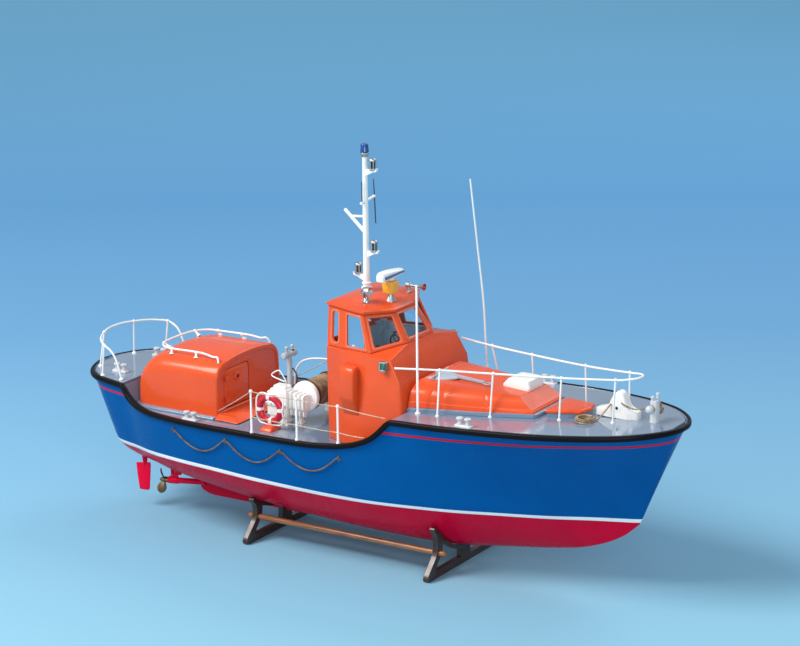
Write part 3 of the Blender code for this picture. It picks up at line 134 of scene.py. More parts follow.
# The hull: a moulded shell of a round-bilged lifeboat with a raised bow and stern, filled, rubbed down and
# sprayed in gloss enamel. Blue topsides, a red bottom and a white stripe between them are masked off with
# tape, as is the thin red line under the edge of the raised ends. Inside its rim it is deck grey.
hull_half_length = 169.6
deck_edge = [(-169.6, 0), (-167.8, 10), (-162.6, 20.6), (-155, 27.6), (-146, 30.8), (-134, 33.6), (-118, 39),
    (-100, 43.4), (-78, 45.9), (-45, 46.9), (0, 46.9), (38, 46.5), (75, 44.9), (105, 42), (125, 37.8),
    (142, 31.8), (154.5, 24.8), (164, 15.4), (168.6, 7), (169.6, 0)]
sheer = [(-169.6, 73.6), (-136, 73), (-132.9, 72.9), (-130.8, 71.4), (-128.7, 69.1), (-126.3, 67.2),
    (-122, 65.4), (-116.5, 64.2), (-109, 63.6), (-90, 63.7), (-60, 64), (-15, 64.6), (4, 66.2), (14, 68.2),
    (21, 70.6), (26, 73.2), (30, 76.4), (33, 79.4), (35.6, 82), (38, 83.3), (60, 83.9), (100, 85.6),
    (140, 87.4), (169.6, 88.7)]
bottom = [(-169.6, 33), (-150, 29.5), (-135, 27), (-113, 24), (-73, 18.2), (-28, 13.2), (0, 11.2), (43, 9.7),
    (76, 12.1), (131, 18.2), (150, 23), (163, 29.5), (169.6, 36.5)]
water_share = [(-169.6, 0.84), (-155, 0.86), (-135, 0.87), (-119, 0.88), (-80, 0.9), (-40, 0.94), (12, 0.92),
    (64, 0.74), (92, 0.6), (122, 0.45), (147, 0.28), (169.6, 0.15)]
roundness = [(-169.6, 0.2), (-145, 0.21), (-120, 0.29), (-60, 0.37), (0, 0.44), (40, 0.5), (90, 0.66),
    (169.6, 0.9)]
waterline, bow_height, stern_height = 39, 88.7, 73.6
fore_rake, aft_rake, fore_rake_from, aft_rake_from = 0.42, 0.4, 60, -110
rim_wall = 1.4
stern_step, fore_step = -134, 37.4
well_bed, well_top = 60, 61.1
stripe_low = [(-169.6, 37.2), (-135, 37.4), (-120, 37.9), (-100, 38.8), (-75, 38.9), (-45, 38.3), (-15, 37.4),
    (0, 37.1), (30, 37.3), (169.6, 37.4)]
stripe_high = [(-169.6, 39.6), (-135, 39.6), (-120, 40.1), (-100, 40.8), (-75, 40.9), (-45, 40.4), (-15, 39.6),
    (0, 39.3), (60, 39.1), (169.6, 39.4)]
fore_line = [(28, 76.1), (45, 76.4), (75, 77.3), (105, 78.7), (135, 80.4), (169.6, 81.6)]
stern_line = [(-169.6, 67), (-134, 66.7)]
hull_blue, hull_red, hull_white = (0, 0.088, 0.305), (0.74, 0.001, 0.035), (0.9, 0.91, 0.9)
line_red, deck_grey = (0.62, 0.01, 0.035), (0.185, 0.27, 0.385)


def fair(table, x):
    """Values of a table of (place, value) rows at x: a cubic through each pair of rows, whose slopes are the
    harmonic mean of the steps on both sides, so the curve never rises above or falls below its rows."""
    place, value = np.array(table, float).T
    step = np.diff(value) / np.diff(place)
    before, after = step[:-1], step[1:]
    total = np.where(before * after > 0, before + after, 1)
    slope = np.concatenate([step[:1], np.where(before * after > 0, 2 * before * after / total, 0), step[-1:]])
    x = np.clip(x, place[0], place[-1])
    k = np.clip(np.searchsorted(place, x, side="right") - 1, 0, len(place) - 2)
    width = place[k + 1] - place[k]
    t = (x - place[k]) / width
    return ((2 * t**3 - 3 * t**2 + 1) * value[k] + (t**3 - 2 * t**2 + t) * slope[k] * width
        + (3 * t**2 - 2 * t**3) * value[k + 1] + (t**3 - t**2) * slope[k + 1] * width)


def curve_through(points, per_span, closed=False):
    """Points on a smooth curve through the given ones: between two of them, the cubic whose slope at each is
    half the way from its earlier to its later neighbour."""
    p = np.array(points, float)
    around = np.vstack([p[-1:], p, p[:2]]) if closed else np.vstack([2 * p[:1] - p[1:2], p,
        2 * p[-1:] - p[-2:-1]])
    p0, p1, p2, p3 = around[:-3], around[1:-2], around[2:-1], around[3:]
    t = (np.arange(per_span) / per_span)[:, None, None]
    curve = 0.5 * (2 * p1 + (p2 - p0) * t + (2 * p0 - 5 * p1 + 4 * p2 - p3) * t**2 + (3 * p1 - p0 - 3 * p2 + p3)
        * t**3)
    curve = curve.transpose(1, 0, 2).reshape(-1, p.shape[1])
    return curve if closed else np.vstack([curve, p[-1:]])


both_sides = (("port", 1), ("starboard", -1))
edge_line = curve_through([(-167.8, -10)] + deck_edge + [(168.6, -7)], 36)[36:-36]


def half_breadth(x):
    """Half the hull's breadth at deck level: the deck edge's curve read at x."""
    return np.interp(x, edge_line[:, 0], np.maximum(0, edge_line[:, 1]))


def deck_height(x):
    """Height of the deck's edge at one place along the boat."""
    return float(fair(sheer, x))


def rake(x, z):
    """How far the raked stem and stern move a point along the boat: in proportion to its depth under the
    deck's end, growing evenly from where the rake starts to the hull's end."""
    fore = np.maximum(0, (x - fore_rake_from) / (hull_half_length - fore_rake_from))
    aft = np.maximum(0, (aft_rake_from - x) / (hull_half_length + aft_rake_from))
    return -fore_rake * (bow_height - z) * fore + aft_rake * (stern_height - z) * aft


def side_at(x, z):
    """Half breadth of the topside at height z: from the waterline's breadth out to the deck's, in proportion
    to height, or to a power of it up to 1.5 where the bow flares."""
    breadth = half_breadth(x)
    wet = breadth * fair(water_share, x)
    share = (z - waterline) / (fair(sheer, x) - waterline)
    return wet + (breadth - wet) * share ** (1 + 0.5 * np.clip((x - 40) / 40, 0, 1))


def inside_at(x, z):
    """Half breadth inside the hull's rim: the topside less the rim's wall, or less 0.4 of a narrow end."""
    breadth = side_at(x, z)
    return breadth - np.minimum(rim_wall, 0.4 * breadth)


def bottom_at(x, y):
    """Height of the hull's bottom at a place: the section's curve at the station that the rake brings there,
    found in six steps."""
    station = np.array(x, float)
    for _ in range(6):
        low = fair(bottom, station)
        share = np.clip(np.abs(y) / (half_breadth(station) * fair(water_share, station)), 0, 1)
        z = low + (waterline - low) * share ** (1 / fair(roundness, station))
        station = x - rake(station, z)
    return z


def enamel(name, colour, rough=0.2, coat=0.5, tone=0.07, shine=0.5, bands=None):
    """Sprayed enamel: the colour drifts a few parts in a hundred over 20 mm and speckles finely, the gloss
    varies with it, and a fine orange peel of 1 mm cells lies over a slow ripple of the shell under it."""
    made, add, shader, links, place = tree(name)
    drift = add("TexNoise", Vector=place, Scale=48, Detail=4).outputs["Fac"]
    speck = add("TexNoise", Vector=place, Scale=900, Detail=2).outputs["Fac"]
    mixed = add("Math", operation="MULTIPLY_ADD", _0=speck, _1=0.35, _2=drift).outputs[0]
    value = add("MapRange", Value=mixed, From_Min=0.35, From_Max=1, To_Min=1 - tone, To_Max=1 + tone).outputs[0]
    base = bands(add, place) if bands else None
    shade = add("HueSaturation", Saturation=1, Value=value, Color=base or (*colour, 1)).outputs[0]
    links.new(shade, shader.inputs["Base Color"])
    gloss = add("MapRange", Value=mixed, From_Min=0.35, From_Max=1, To_Min=rough + 0.06, To_Max=rough - 0.03)
    links.new(gloss.outputs[0], shader.inputs["Roughness"])
    ripple = add("TexNoise", Vector=place, Scale=90, Detail=1).outputs["Fac"]
    cells = add("TexNoise", Vector=place, Scale=1100, Detail=1).outputs["Fac"]
    height = add("Math", operation="MULTIPLY_ADD", _0=cells, _1=0.05, _2=ripple).outputs[0]
    bump = add("Bump", Strength=0.12, Distance=0.00008, Height=height).outputs[0]
    links.new(bump, shader.inputs["Normal"])
    shader.inputs["IOR"].default_value = 1 + shine
    shader.inputs["Coat Weight"].default_value = coat
    shader.inputs["Coat Roughness"].default_value = 0.06
    return made


def both_halves(points, shared=0, axis=1):
    """The points, then the same turned over along an axis in the opposite order, less the last shared ones."""
    points = np.array(points, float)
    flip = np.where(np.arange(points.shape[1]) == axis, -1, 1)
    return np.vstack([points, (points[:len(points) - shared] * flip)[::-1]])


def placed(flat, axis, place):
    """Points of a flat outline put into space: the given place, or one for each point, along the axis."""
    return np.insert(np.array(flat, float), "xyz".index(axis), place, axis=1)


def skin(rings, wrap=False, caps=True, finish=0):
    """Faces over closed rings of points: four corners between each two neighbouring points of one ring and
    the same two of the next, and a face over each end unless the rings run back into the first."""
    rings = np.asarray(rings, float)
    count, size = rings.shape[:2]
    i, j = np.meshgrid(np.arange(count if wrap else count - 1), np.arange(size), indexing="ij")
    here, there = i * size, (i + 1) % count * size
    beside = (j + 1) % size
    faces = np.stack([here + j, here + beside, there + beside, there + j], -1).reshape(-1, 4).tolist()
    if caps and not wrap:
        faces += [list(range(size))[::-1], list(range((count - 1) * size, count * size))]
    return rings.reshape(-1, 3), faces, finish


def piece(name, shapes, finishes, body="boat", stands_for=None, round_edge=0, crease=38,
        values=None):
    """One object from several shapes: their points, in metres, and faces are put in one mesh, doubles are
    merged, faces turned outwards and edges over the crease angle kept sharp or rounded by a bevel."""
    starts = np.cumsum([0] + [len(shape[0]) for shape in shapes])
    faces = [[v + start for v in face] for shape, start in zip(shapes, starts) for face in shape[1]]
    mesh = bpy.data.meshes.new(name)
    mesh.from_pydata((np.concatenate([shape[0] for shape in shapes]) * mm).tolist(), [], faces)
    marks = np.concatenate([np.broadcast_to(shape[2], len(shape[1])) for shape in shapes]).astype(np.int32)
    mesh.polygons.foreach_set("material_index", marks)
    for key, numbers in (values or {}).items():
        mesh.attributes.new(key, "FLOAT", "POINT").data.foreach_set("value",
            np.asarray(numbers, np.float32).ravel())
    work = bmesh.new()
    work.from_mesh(mesh)
    bmesh.ops.remove_doubles(work, verts=work.verts, dist=1e-6)
    bmesh.ops.dissolve_degenerate(work, dist=1e-7, edges=work.edges)
    bmesh.ops.recalc_face_normals(work, faces=work.faces)
    work.to_mesh(mesh)
    work.free()
    mesh.shade_smooth()
    for finish in finishes:
        mesh.materials.append(finish)
    made = bpy.data.objects.new(name, mesh)
    bpy.context.collection.objects.link(made)
    if round_edge:
        edge = made.modifiers.new("rounded edges", "BEVEL")
        edge.width = round_edge * mm
        edge.segments = 2
        edge.limit_method = "ANGLE"
        edge.angle_limit = math.radians(crease)
        edge.harden_normals = True
    else:
        mesh.set_sharp_from_angle(angle=math.radians(crease))
    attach(made, body)
    if stands_for:
        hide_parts(stands_for)
    return made


def hull_bands(add, place):
    """Paint by height: the stripe value is -1 and 1 at the white stripe's edges, and the line value is the
    height over the middle of the thin red line, which is painted where the lined value is 1."""
    stripe = add("Attribute", attribute_name="stripe").outputs["Fac"]
    line = add("Attribute", attribute_name="line").outputs["Fac"]
    over = add("MapRange", Value=stripe, From_Min=0.96, From_Max=1.04).outputs[0]
    under = add("MapRange", Value=stripe, From_Min=-0.96, From_Max=-1.04).outputs[0]
    near = add("Math", operation="ABSOLUTE", _0=line).outputs[0]
    on_line = add("MapRange", Value=near, From_Min=0.62, From_Max=0.56).outputs[0]
    ends = add("Attribute", attribute_name="lined").outputs["Fac"]
    on_line = add("Math", operation="MULTIPLY", _0=on_line, _1=ends).outputs[0]
    paint = add("MixRGB", _0=over, _1=(*hull_white, 1), _2=(*hull_blue, 1)).outputs[0]
    paint = add("MixRGB", _0=under, _1=paint, _2=(*hull_red, 1)).outputs[0]
    return add("MixRGB", _0=on_line, _1=paint, _2=(*line_red, 1)).outputs[0]


hull_paint = enamel("hull_gloss_enamel", hull_blue, rough=0.26, coat=0.04, shine=0.14,
    bands=hull_bands)
deck_paint = enamel("deck_gloss_grey", deck_grey, rough=0.13, coat=0.8, tone=0.05)
strake_black = enamel("strake_satin_black", (0.006, 0.005, 0.006), rough=0.35, coat=0,
    shine=0.2)

turn = np.linspace(0, np.pi / 2, 30)
hull_x = np.unique(np.concatenate([-146 - (hull_half_length - 146) * np.cos(turn),
    np.linspace(-146, stern_step - 0.3, 9), np.linspace(stern_step + 0.3, -112, 24), np.linspace(-112, 0, 50),
    np.linspace(0, fore_step - 0.3, 40), np.linspace(fore_step + 0.3, 145, 60),
    145 + (hull_half_length - 145) * np.sin(turn)]))
hull_x = hull_x[np.concatenate([[True], np.diff(hull_x) > 0.02])]
station = hull_x[:, None]
low, top = fair(bottom, station), fair(sheer, station)
wet_share = np.linspace(0, 1, 22)[None] ** 1.7
wet_y = half_breadth(station) * fair(water_share, station) * wet_share ** fair(roundness, station)
wet_z = low + (waterline - low) * wet_share
dry_z = waterline + (top - waterline) * np.linspace(0, 1, 16)[None, 1:]
bed = np.where((station > stern_step) & (station < fore_step), well_bed,
    np.where(np.abs(station) > hull_half_length - 0.01, top, top - 1.2))
half_y = np.hstack([wet_y, side_at(station, dry_z), inside_at(station, top), inside_at(station, bed)])
half_z = np.hstack([wet_z, dry_z, top, bed])
half_x = station + rake(station, half_z)
hull_ring = np.stack([np.hstack([half_x, half_x[:, :0:-1]]), np.hstack([half_y, -half_y[:, :0:-1]]),
    np.hstack([half_z, half_z[:, :0:-1]])], -1)
across = hull_ring.shape[1]
rim_column, inner_column = half_y.shape[1] - 3, half_y.shape[1] - 2
column = np.tile(np.arange(across), len(hull_x) - 1)
mirrored = across - 1 - column
inside = ((column >= inner_column) & (column <= across - 1 - inner_column))
on_rim = (column == rim_column) | (mirrored == rim_column)
hull_shape = skin(hull_ring)
marks = np.concatenate([np.where(inside, 1, np.where(on_rim, 2, 0)), [0, 0]])
ring_x, ring_z = np.broadcast_to(station, hull_ring.shape[:2]), hull_ring[..., 2]
stripe_top, stripe_foot = fair(stripe_high, ring_x), fair(stripe_low, ring_x)
line_height = ring_z - np.where(ring_x > -50, fair(fore_line, ring_x), fair(stern_line, ring_x))
lined = (ring_x > 30) | (ring_x < stern_step - 0.2)
piece("hull_shell", [(*hull_shape[:2], marks)], [hull_paint, deck_paint, strake_black], stands_for="hull",
    crease=40, values={"stripe": (2 * ring_z - stripe_top - stripe_foot) / (stripe_top - stripe_foot),
    "line": line_height, "lined": lined})

# Rubbing strake: a strip of half-round black moulding, bent hot to the sheer and glued along the whole deck
# edge, ends butted at the stern. It has a satin shine and a faint line where the moulding's halves met.
strake_proud, strake_under, strake_over = 1.05, 2.5, 0.22


def loop_round(x):
    """The deck edge as one closed line: out along the port side and back along the starboard side."""
    port = np.stack([x, half_breadth(x), fair(sheer, x)], -1)
    return np.vstack([port, port[-2:0:-1] * (1, -1, 1)])


edge_points = loop_round(hull_x)
ahead = np.roll(edge_points, -1, 0) - np.roll(edge_points, 1, 0)
ahead /= np.linalg.norm(ahead, axis=1, keepdims=True)
out = np.cross((0, 0, 1), ahead)
out /= np.linalg.norm(out, axis=1, keepdims=True)
over = np.cross(ahead, out)
bend = np.linspace(-np.pi / 2, np.pi / 2, 15)
strake_out = np.concatenate([[-0.1], 0.3 + strake_proud * np.cos(bend) ** 0.7, [-0.1]])
strake_up = np.concatenate([[-strake_under], (strake_over - strake_under) / 2 + (strake_over + strake_under) / 2
    * np.sin(bend), [strake_over]])
strake_rings = (edge_points[:, None] + out[:, None] * strake_out[None, :, None] + over[:, None]
    * strake_up[None, :, None])
piece("rubbing_moulding", [skin(strake_rings, wrap=True)], [strake_black], stands_for="rubbing_strake",
    crease=50)

# Decks: thin plastic plates let into the rim, sprayed gloss grey and polished, so they mirror what stands on
# them. The raised decks lie flush with the rim; the well's deck lies 3 mm under it.
plate_rows, plate_gap, plate_under, plate_over = 22, 0.15, 0.9, 0.1


def deck_plate(first, last, sunk):
    """A plate between two stations: rows of points from side to side over the top, closed underneath, whose
    half breadth is the rim's inside less a fine gap. It follows the sheer, or lies level if it is sunk."""
    inner = hull_x[(hull_x > first) & (hull_x < last)]
    x = np.concatenate([[first], inner, [last]])[:, None]
    top = fair(sheer, x)
    low_z, high_z = (well_bed + 0.3 + 0 * x, well_top + 0 * x) if sunk else (top - plate_under,
        top - plate_over)
    half = np.minimum(inside_at(x, low_z), inside_at(x + np.sign(x) * 0.6, low_z)) - plate_gap
    spread = np.linspace(-1, 1, plate_rows)[None]
    place = x + rake(x, low_z)
    upper = np.stack(np.broadcast_arrays(place, half * spread, high_z), -1)
    lower = np.stack(np.broadcast_arrays(place, half * np.array([[1, -1]]), low_z), -1)
    return skin(np.concatenate([upper, lower], 1))


for deck_name, first, last in (("fore_deck", fore_step + 0.5, hull_half_length - 2.4),
        ("stern_deck", -hull_half_length + 2.4, stern_step - 0.5), ("well_deck", stern_step + 0.5,
        fore_step - 0.5)):
    piece(deck_name + "_plate", [deck_plate(first, last, deck_name == "well_deck")], [deck_paint],
        stands_for=deck_name)

# Skeg: a plank of plastic glued on edge under the centre line, its ends rounded, painted with the bottom. The
# red is brushed on, so it is a duller gloss than the sprayed sides, and the stand holds it in its slots.
bottom_paint = enamel("bottom_red_enamel", hull_red, rough=0.32, coat=0, shine=0.2)


def layers(rows, axis="z", finish=0):
    """A shape over flat outlines, each at a place of its own along an axis."""
    return skin([placed(flat, axis, place) for flat, place in rows], finish=finish)


def board(outline, axis, low, high, finish=0):
    """A flat shape cut square through: its outline repeated at two places along an axis."""
    return layers([(outline, low), (outline, high)], axis, finish)


keel_x, keel_half = np.arange(-112, 37, 4), 1.6
keel_under = np.stack([keel_x, fair(bottom, keel_x) - 0.4], -1)[::-1]
keel_line = np.vstack([[(-108.8, 12), (-107.4, 10.6), (-104, 9.3), (-100, 8.8), (28, 8.8), (36, 8.9)],
    keel_under])
piece("keel_plank", [board(keel_line, "y", -keel_half, keel_half)], [bottom_paint], stands_for="keel_skeg",
    round_edge=0.4)

# Shaft tubes: brass tube painted red, held aft by a thin bracket with two brass pins and faired into the hull
# forward. The bearing at the aft end is a thicker sleeve with a bare brass end.
shaft_y, shaft_rise, propeller_x, propeller_z = 14, 0.11, -123.2, 17.2


def metal(name, colour, rough, tone=0.12):
    """Bare metal: its colour and shine drift with a slow noise and with a fine grain of cast or filed cells."""
    made, add, shader, links, place = tree(name)
    slow = add("TexNoise", Vector=place, Scale=120, Detail=4).outputs["Fac"]
    fine = add("TexNoise", Vector=place, Scale=700, Detail=3).outputs["Fac"]
    mixed = add("Math", operation="MULTIPLY_ADD", _0=fine, _1=0.5, _2=slow).outputs[0]
    value = add("MapRange", Value=mixed, From_Min=0.4, From_Max=1.1, To_Min=1 - tone,
        To_Max=1 + tone).outputs[0]
    shade = add("HueSaturation", Value=value, Color=(*colour, 1)).outputs[0]
    links.new(shade, shader.inputs["Base Color"])
    gloss = add("MapRange", Value=mixed, From_Min=0.4, From_Max=1.1, To_Min=rough - 0.06, To_Max=rough + 0.1)
    links.new(gloss.outputs[0], shader.inputs["Roughness"])
    links.new(add("Bump", Strength=0.4, Distance=0.00002, Height=fine).outputs[0], shader.inputs["Normal"])
    shader.inputs["Metallic"].default_value = 1
    return made


def turned(start, end, profile, sides=28, finish=0):
    """A turned shape: rings round the line from start to end, each a share of the way along it and of a
    radius of its own."""
    start, end = np.array(start, float), np.array(end, float)
    along = (end - start) / np.linalg.norm(end - start)
    across = np.cross(along, (0, 0, 1) if abs(along[2]) < 0.9 else (0, 1, 0))
    across /= np.linalg.norm(across)
    angle = np.linspace(0, 2 * np.pi, sides, endpoint=False)[None, :, None]
    share, radius = np.array(profile, float).T[:, :, None, None]
    round_it = across * np.cos(angle) + np.cross(along, across) * np.sin(angle)
    return skin(start + (end - start) * share + radius * round_it, finish=finish)


def foil(rows, sides=28, finish=0):
    """A fin: an ellipse, fuller ahead, round the middle of each row's leading and trailing point, with the
    row's half thickness."""
    angle = np.linspace(0, 2 * np.pi, sides, endpoint=False)[:, None]
    rings = []
    for lead, trail, half in rows:
        lead, trail = np.array(lead, float), np.array(trail, float)
        rings.append((lead + trail) / 2 + (lead - trail) / 2 * np.cos(angle) + np.array((0, half, 0))
            * np.sin(angle) * (1 + 0.3 * np.cos(angle)))
    return skin(rings, finish=finish)


brass = metal("propeller_brass", (0.27, 0.225, 0.13), 0.42)
for side, sign in both_sides:
    y = shaft_y * sign

    def on_shaft(x):
        """A point of the shaft's line: its height grows in proportion to the distance from the propeller."""
        return np.array((x, y, propeller_z + (x - propeller_x) * shaft_rise))

    roof_aft, roof_fore = float(bottom_at(-116.5, y)) - 0.55, float(bottom_at(-100.1, y)) - 0.5
    sleeve = [(0, 1), (0, 1.6), (0.06, 1.85), (0.9, 1.9), (1, 1.52)]
    shapes = [turned(on_shaft(-119.6), on_shaft(-96.5), [(0, 1.5), (0.99, 1.5), (1, 1.3)]),
        turned(on_shaft(-120.2), on_shaft(-113.7), sleeve),
        turned(on_shaft(-120.6), on_shaft(-120.1), [(0, 0.7), (0, 1.3), (1, 1.3)], finish=1),
        foil([(on_shaft(-114.2) + (0, 0, 0.4), on_shaft(-118.8) + (0, 0, 0.4), 0.6),
            ((-114, y, (roof_aft + propeller_z) / 2), (-118.9, y, (roof_aft + propeller_z) / 2), 0.55),
            ((-113.7, y, roof_aft - 0.3), (-118.9, y, roof_aft), 0.6)]),
        foil([(on_shaft(-97.2), on_shaft(-101.6), 0.7), ((-97.4, y, float(bottom_at(-97.4, y)) - 0.5),
            (-100.2, y, roof_fore), 0.7)])]
    for x, z in ((-117.6, 20.4), (-115.2, 23)):
        shapes.append(turned((x, y - 0.85, z), (x, y + 0.85, z), [(0, 0.3), (0.1, 0.5), (0.9, 0.5), (1, 0.3)],
            16, finish=1))
    piece("shaft_tube_" + side, shapes, [bottom_paint, brass], stands_for="propeller_shaft_" + side)

    # Propeller: a brass casting with three round blades, turned and filed to a thin edge, on a hub with a
    # pointed cap. The brass has gone a dull olive, brightest on the blades' filed edges.
    hub = np.array((propeller_x, y, propeller_z))
    shapes = [turned(hub - (3, 0, 0.33), hub + (2.6, 0, 0.29), [(0, 0.1), (0.04, 0.5), (0.2, 1.15), (0.4, 1.55),
        (0.96, 1.6), (1, 1.4)], 32)]
    reach = np.array([0.9, 1.6, 2.4, 3.2, 4, 4.8, 5.6, 6.3, 6.8, 7.2, 7.42])
    half_wide = np.array([0.85, 1.2, 1.75, 2.2, 2.5, 2.62, 2.5, 2.15, 1.7, 1.05, 0.3])
    half_thick = np.array([0.5, 0.45, 0.38, 0.34, 0.3, 0.27, 0.23, 0.2, 0.17, 0.13, 0.07])
    twist = np.radians(np.linspace(52, 24, len(reach)))
    loop = np.linspace(0, 2 * np.pi, 20, endpoint=False)
    for blade in range(3):
        spin = math.radians(25 + 120 * blade)
        wide, thick = half_wide[:, None] * np.cos(loop), half_thick[:, None] * np.sin(loop)
        forward = wide * np.sin(twist)[:, None] + thick * np.cos(twist)[:, None]
        aside = sign * (wide * np.cos(twist)[:, None] - thick * np.sin(twist)[:, None])
        outward = np.sqrt(np.maximum(reach[:, None]**2 - 0.3 * aside**2, 0.1))
        rings = np.stack([forward, aside * math.cos(spin) - outward * math.sin(spin),
            aside * math.sin(spin) + outward * math.cos(spin)], -1)
        shapes.append(skin(hub + rings))
    piece("propeller_casting_" + side, shapes, [brass], body="propeller_" + side,
        stands_for="propeller_" + side)

    # Rudder: a thin cast blade with a swept lower edge on a short thick stock that passes up into the hull.
    # It is painted with the bottom, and turns about the stock.
    stock_top = float(bottom_at(-135.6, y)) - 0.45
    piece("rudder_blade_" + side, [foil([((-134.6, y, 9.4), (-138.9, y, 9.2), 0.12),
            ((-133.2, y, 10), (-139.8, y, 9.5), 0.34), ((-132.9, y, 11.4), (-140.1, y, 11), 0.5),
            ((-132.3, y, 18.2), (-140.9, y, 17.2), 0.6), ((-131.8, y, 24.3), (-141.5, y, 23), 0.6),
            ((-132.2, y, 25.1), (-141.2, y, 23.7), 0.4)]),
        turned((-135.6, y, 22), (-135.6, y, stock_top), [(0, 0.7), (0.2, 0.9), (0.5, 1.25), (0.94, 1.5),
            (1, 1.3)])],
        [bottom_paint], body="rudder_" + side, stands_for="rudder_" + side)

# Aft cabin: one moulding with round shoulders and a rounded stern end, hollow, with a doorway in its front,
# sprayed gloss orange. A lip runs round its front face, which is let in a little behind it.
cabin_front, cabin_aft, cabin_foot = -77, -127.6, 61.4
cabin_width = [(-127.6, 0.945), (-126.2, 0.965), (-122.8, 0.985), (-118, 0.995), (-112, 1), (-77, 1)]
cabin_top = [(-127.6, 76.4), (-126.2, 81.6), (-122.8, 86.6), (-118, 89.5), (-112, 90.8), (-100, 91), (-77, 91)]
door_hinge, door_free, door_bottom, door_top = -20.6, 1, 64.4, 85
house_orange = (0.78, 0.092, 0.022)
cabin_paint = enamel("cabin_gloss_orange", house_orange, rough=0.25, coat=0.2, shine=0.35)
inside_pale = enamel("inside_pale_blue_plastic", (0.42, 0.58, 0.7), rough=0.5, coat=0)


def rounded_box(low, high, radius, steps=8):
    """Corners of a rectangle, each replaced by a quarter circle of the radius, or of its own where four are
    given, in the order bottom left, bottom right, top right, top left."""
    points = []
    corners = zip(((low[0], low[1]), (high[0], low[1]), high, (low[0], high[1])), np.broadcast_to(radius, 4))
    for k, (corner, r) in enumerate(corners):
        inward = ((1, 1), (-1, 1), (-1, -1), (1, -1))[k]
        for angle in np.radians(np.linspace(180 + 90 * k, 270 + 90 * k, steps)):
            points.append((corner[0] + inward[0] * r + r * math.cos(angle),
                corner[1] + inward[1] * r + r * math.sin(angle)))
    return np.array(points)


def rays_to(outline, centre, angles):
    """Where a ray from the centre at each angle leaves a closed outline."""
    here = outline - centre
    there = np.roll(here, -1, 0)
    hits = []
    for angle in angles:
        aim = np.array((math.cos(angle), math.sin(angle)))
        edge = there - here
        cross = aim[0] * edge[:, 1] - aim[1] * edge[:, 0]
        cross = np.where(np.abs(cross) < 1e-12, 1e-12, cross)
        far = (here[:, 0] * edge[:, 1] - here[:, 1] * edge[:, 0]) / cross
        share = (here[:, 0] * aim[1] - here[:, 1] * aim[0]) / cross
        hits.append(centre + aim * far[(far > 0) & (share >= -1e-9) & (share <= 1 + 1e-9)].max())
    return np.array(hits)


half, rise, cabin_middle = 28, 91 - cabin_foot, np.array((0, 75.5))
shoulder = cabin_foot + rise * 0.66
curl = np.radians(np.linspace(0, 90, 14))
cabin_side = np.vstack([[(half + 0.5, cabin_foot), (half + 0.2, cabin_foot + rise * 0.15),
    (half, cabin_foot + rise * 0.35)], np.stack([half - 0.4 - half * 0.36 * (1 - np.cos(curl)),
    shoulder + (91 - 1.4 - shoulder) * np.sin(curl)], -1), [(half * 0.48, 90.3), (half * 0.3, 90.75),
    (half * 0.1, 90.98)]])
cabin_line = both_halves(cabin_side, axis=0)
door_hole = rounded_box((door_hinge, door_bottom), (door_free, door_top), (0.5, 0.5, 2.4, 2.4))
door_middle = np.array((-9.8, 74.7))
door_rays = np.unique(np.round(np.concatenate([np.linspace(-np.pi, np.pi, 120, endpoint=False),
    np.arctan2(*(cabin_line - door_middle).T[::-1]), np.arctan2(*(door_hole - door_middle).T[::-1])]), 4))
cabin_ring, door_ring = rays_to(cabin_line, door_middle, door_rays), rays_to(door_hole, door_middle, door_rays)


def cabin_at(x, shrink, share=1):
    """The cabin's section at a station, scaled to its width and top there, shrunk about its middle by a wall's
    thickness, and at a share of the way from the doorway's outline out to it."""
    ring = cabin_ring * (fair(cabin_width, x), 1)
    ring[:, 1] = cabin_foot + (ring[:, 1] - cabin_foot) * (fair(cabin_top, x) - cabin_foot) / rise
    ring = cabin_middle + (ring - cabin_middle) * (1 - shrink / np.array((28, 15)))
    ring = door_ring + (ring - door_ring) * share
    return placed(ring, "x", x)


cabin_rings = [cabin_at(cabin_aft + d, s) for d, s in ((0, 1.6), (0.15, 0.8), (0.6, 0.2))]
cabin_rings += [cabin_at(x, 0) for x in np.concatenate([np.linspace(cabin_aft + 1.2, -112, 16), [-100, -88]])]
cabin_rings += [cabin_at(cabin_front - 1.3 * (1 - math.sin(t)), 1.3 * (1 - math.cos(t)))
    for t in np.radians(np.linspace(0, 80, 6))]
for depth, shrink in ((0, 2.2), (0.15, 2.5), (0.6, 2.7)):
    cabin_rings.append(cabin_at(cabin_front - depth, shrink))
for depth, share in ((0.6, 0.5), (0.6, 0.04), (0.75, 0), (1.55, 0), (1.8, 0.3)):
    ring = cabin_at(cabin_front, 2.7, share)
    ring[:, 0] = cabin_front - depth
    cabin_rings.append(ring)
cabin_rings += [cabin_at(x, 1.5) for x in (cabin_front - 1.8, -100, -112, -120, -125)]
cabin_skin = skin(cabin_rings)
inner_from = (len(cabin_rings) - 6) * len(door_rays)
cabin_marks = np.array([1 if min(face) >= inner_from else 0 for face in cabin_skin[1]])
piece("aft_cabin_moulding", [(*cabin_skin[:2], cabin_marks)], [cabin_paint, inside_pale],
    stands_for="aft_cabin", crease=50)

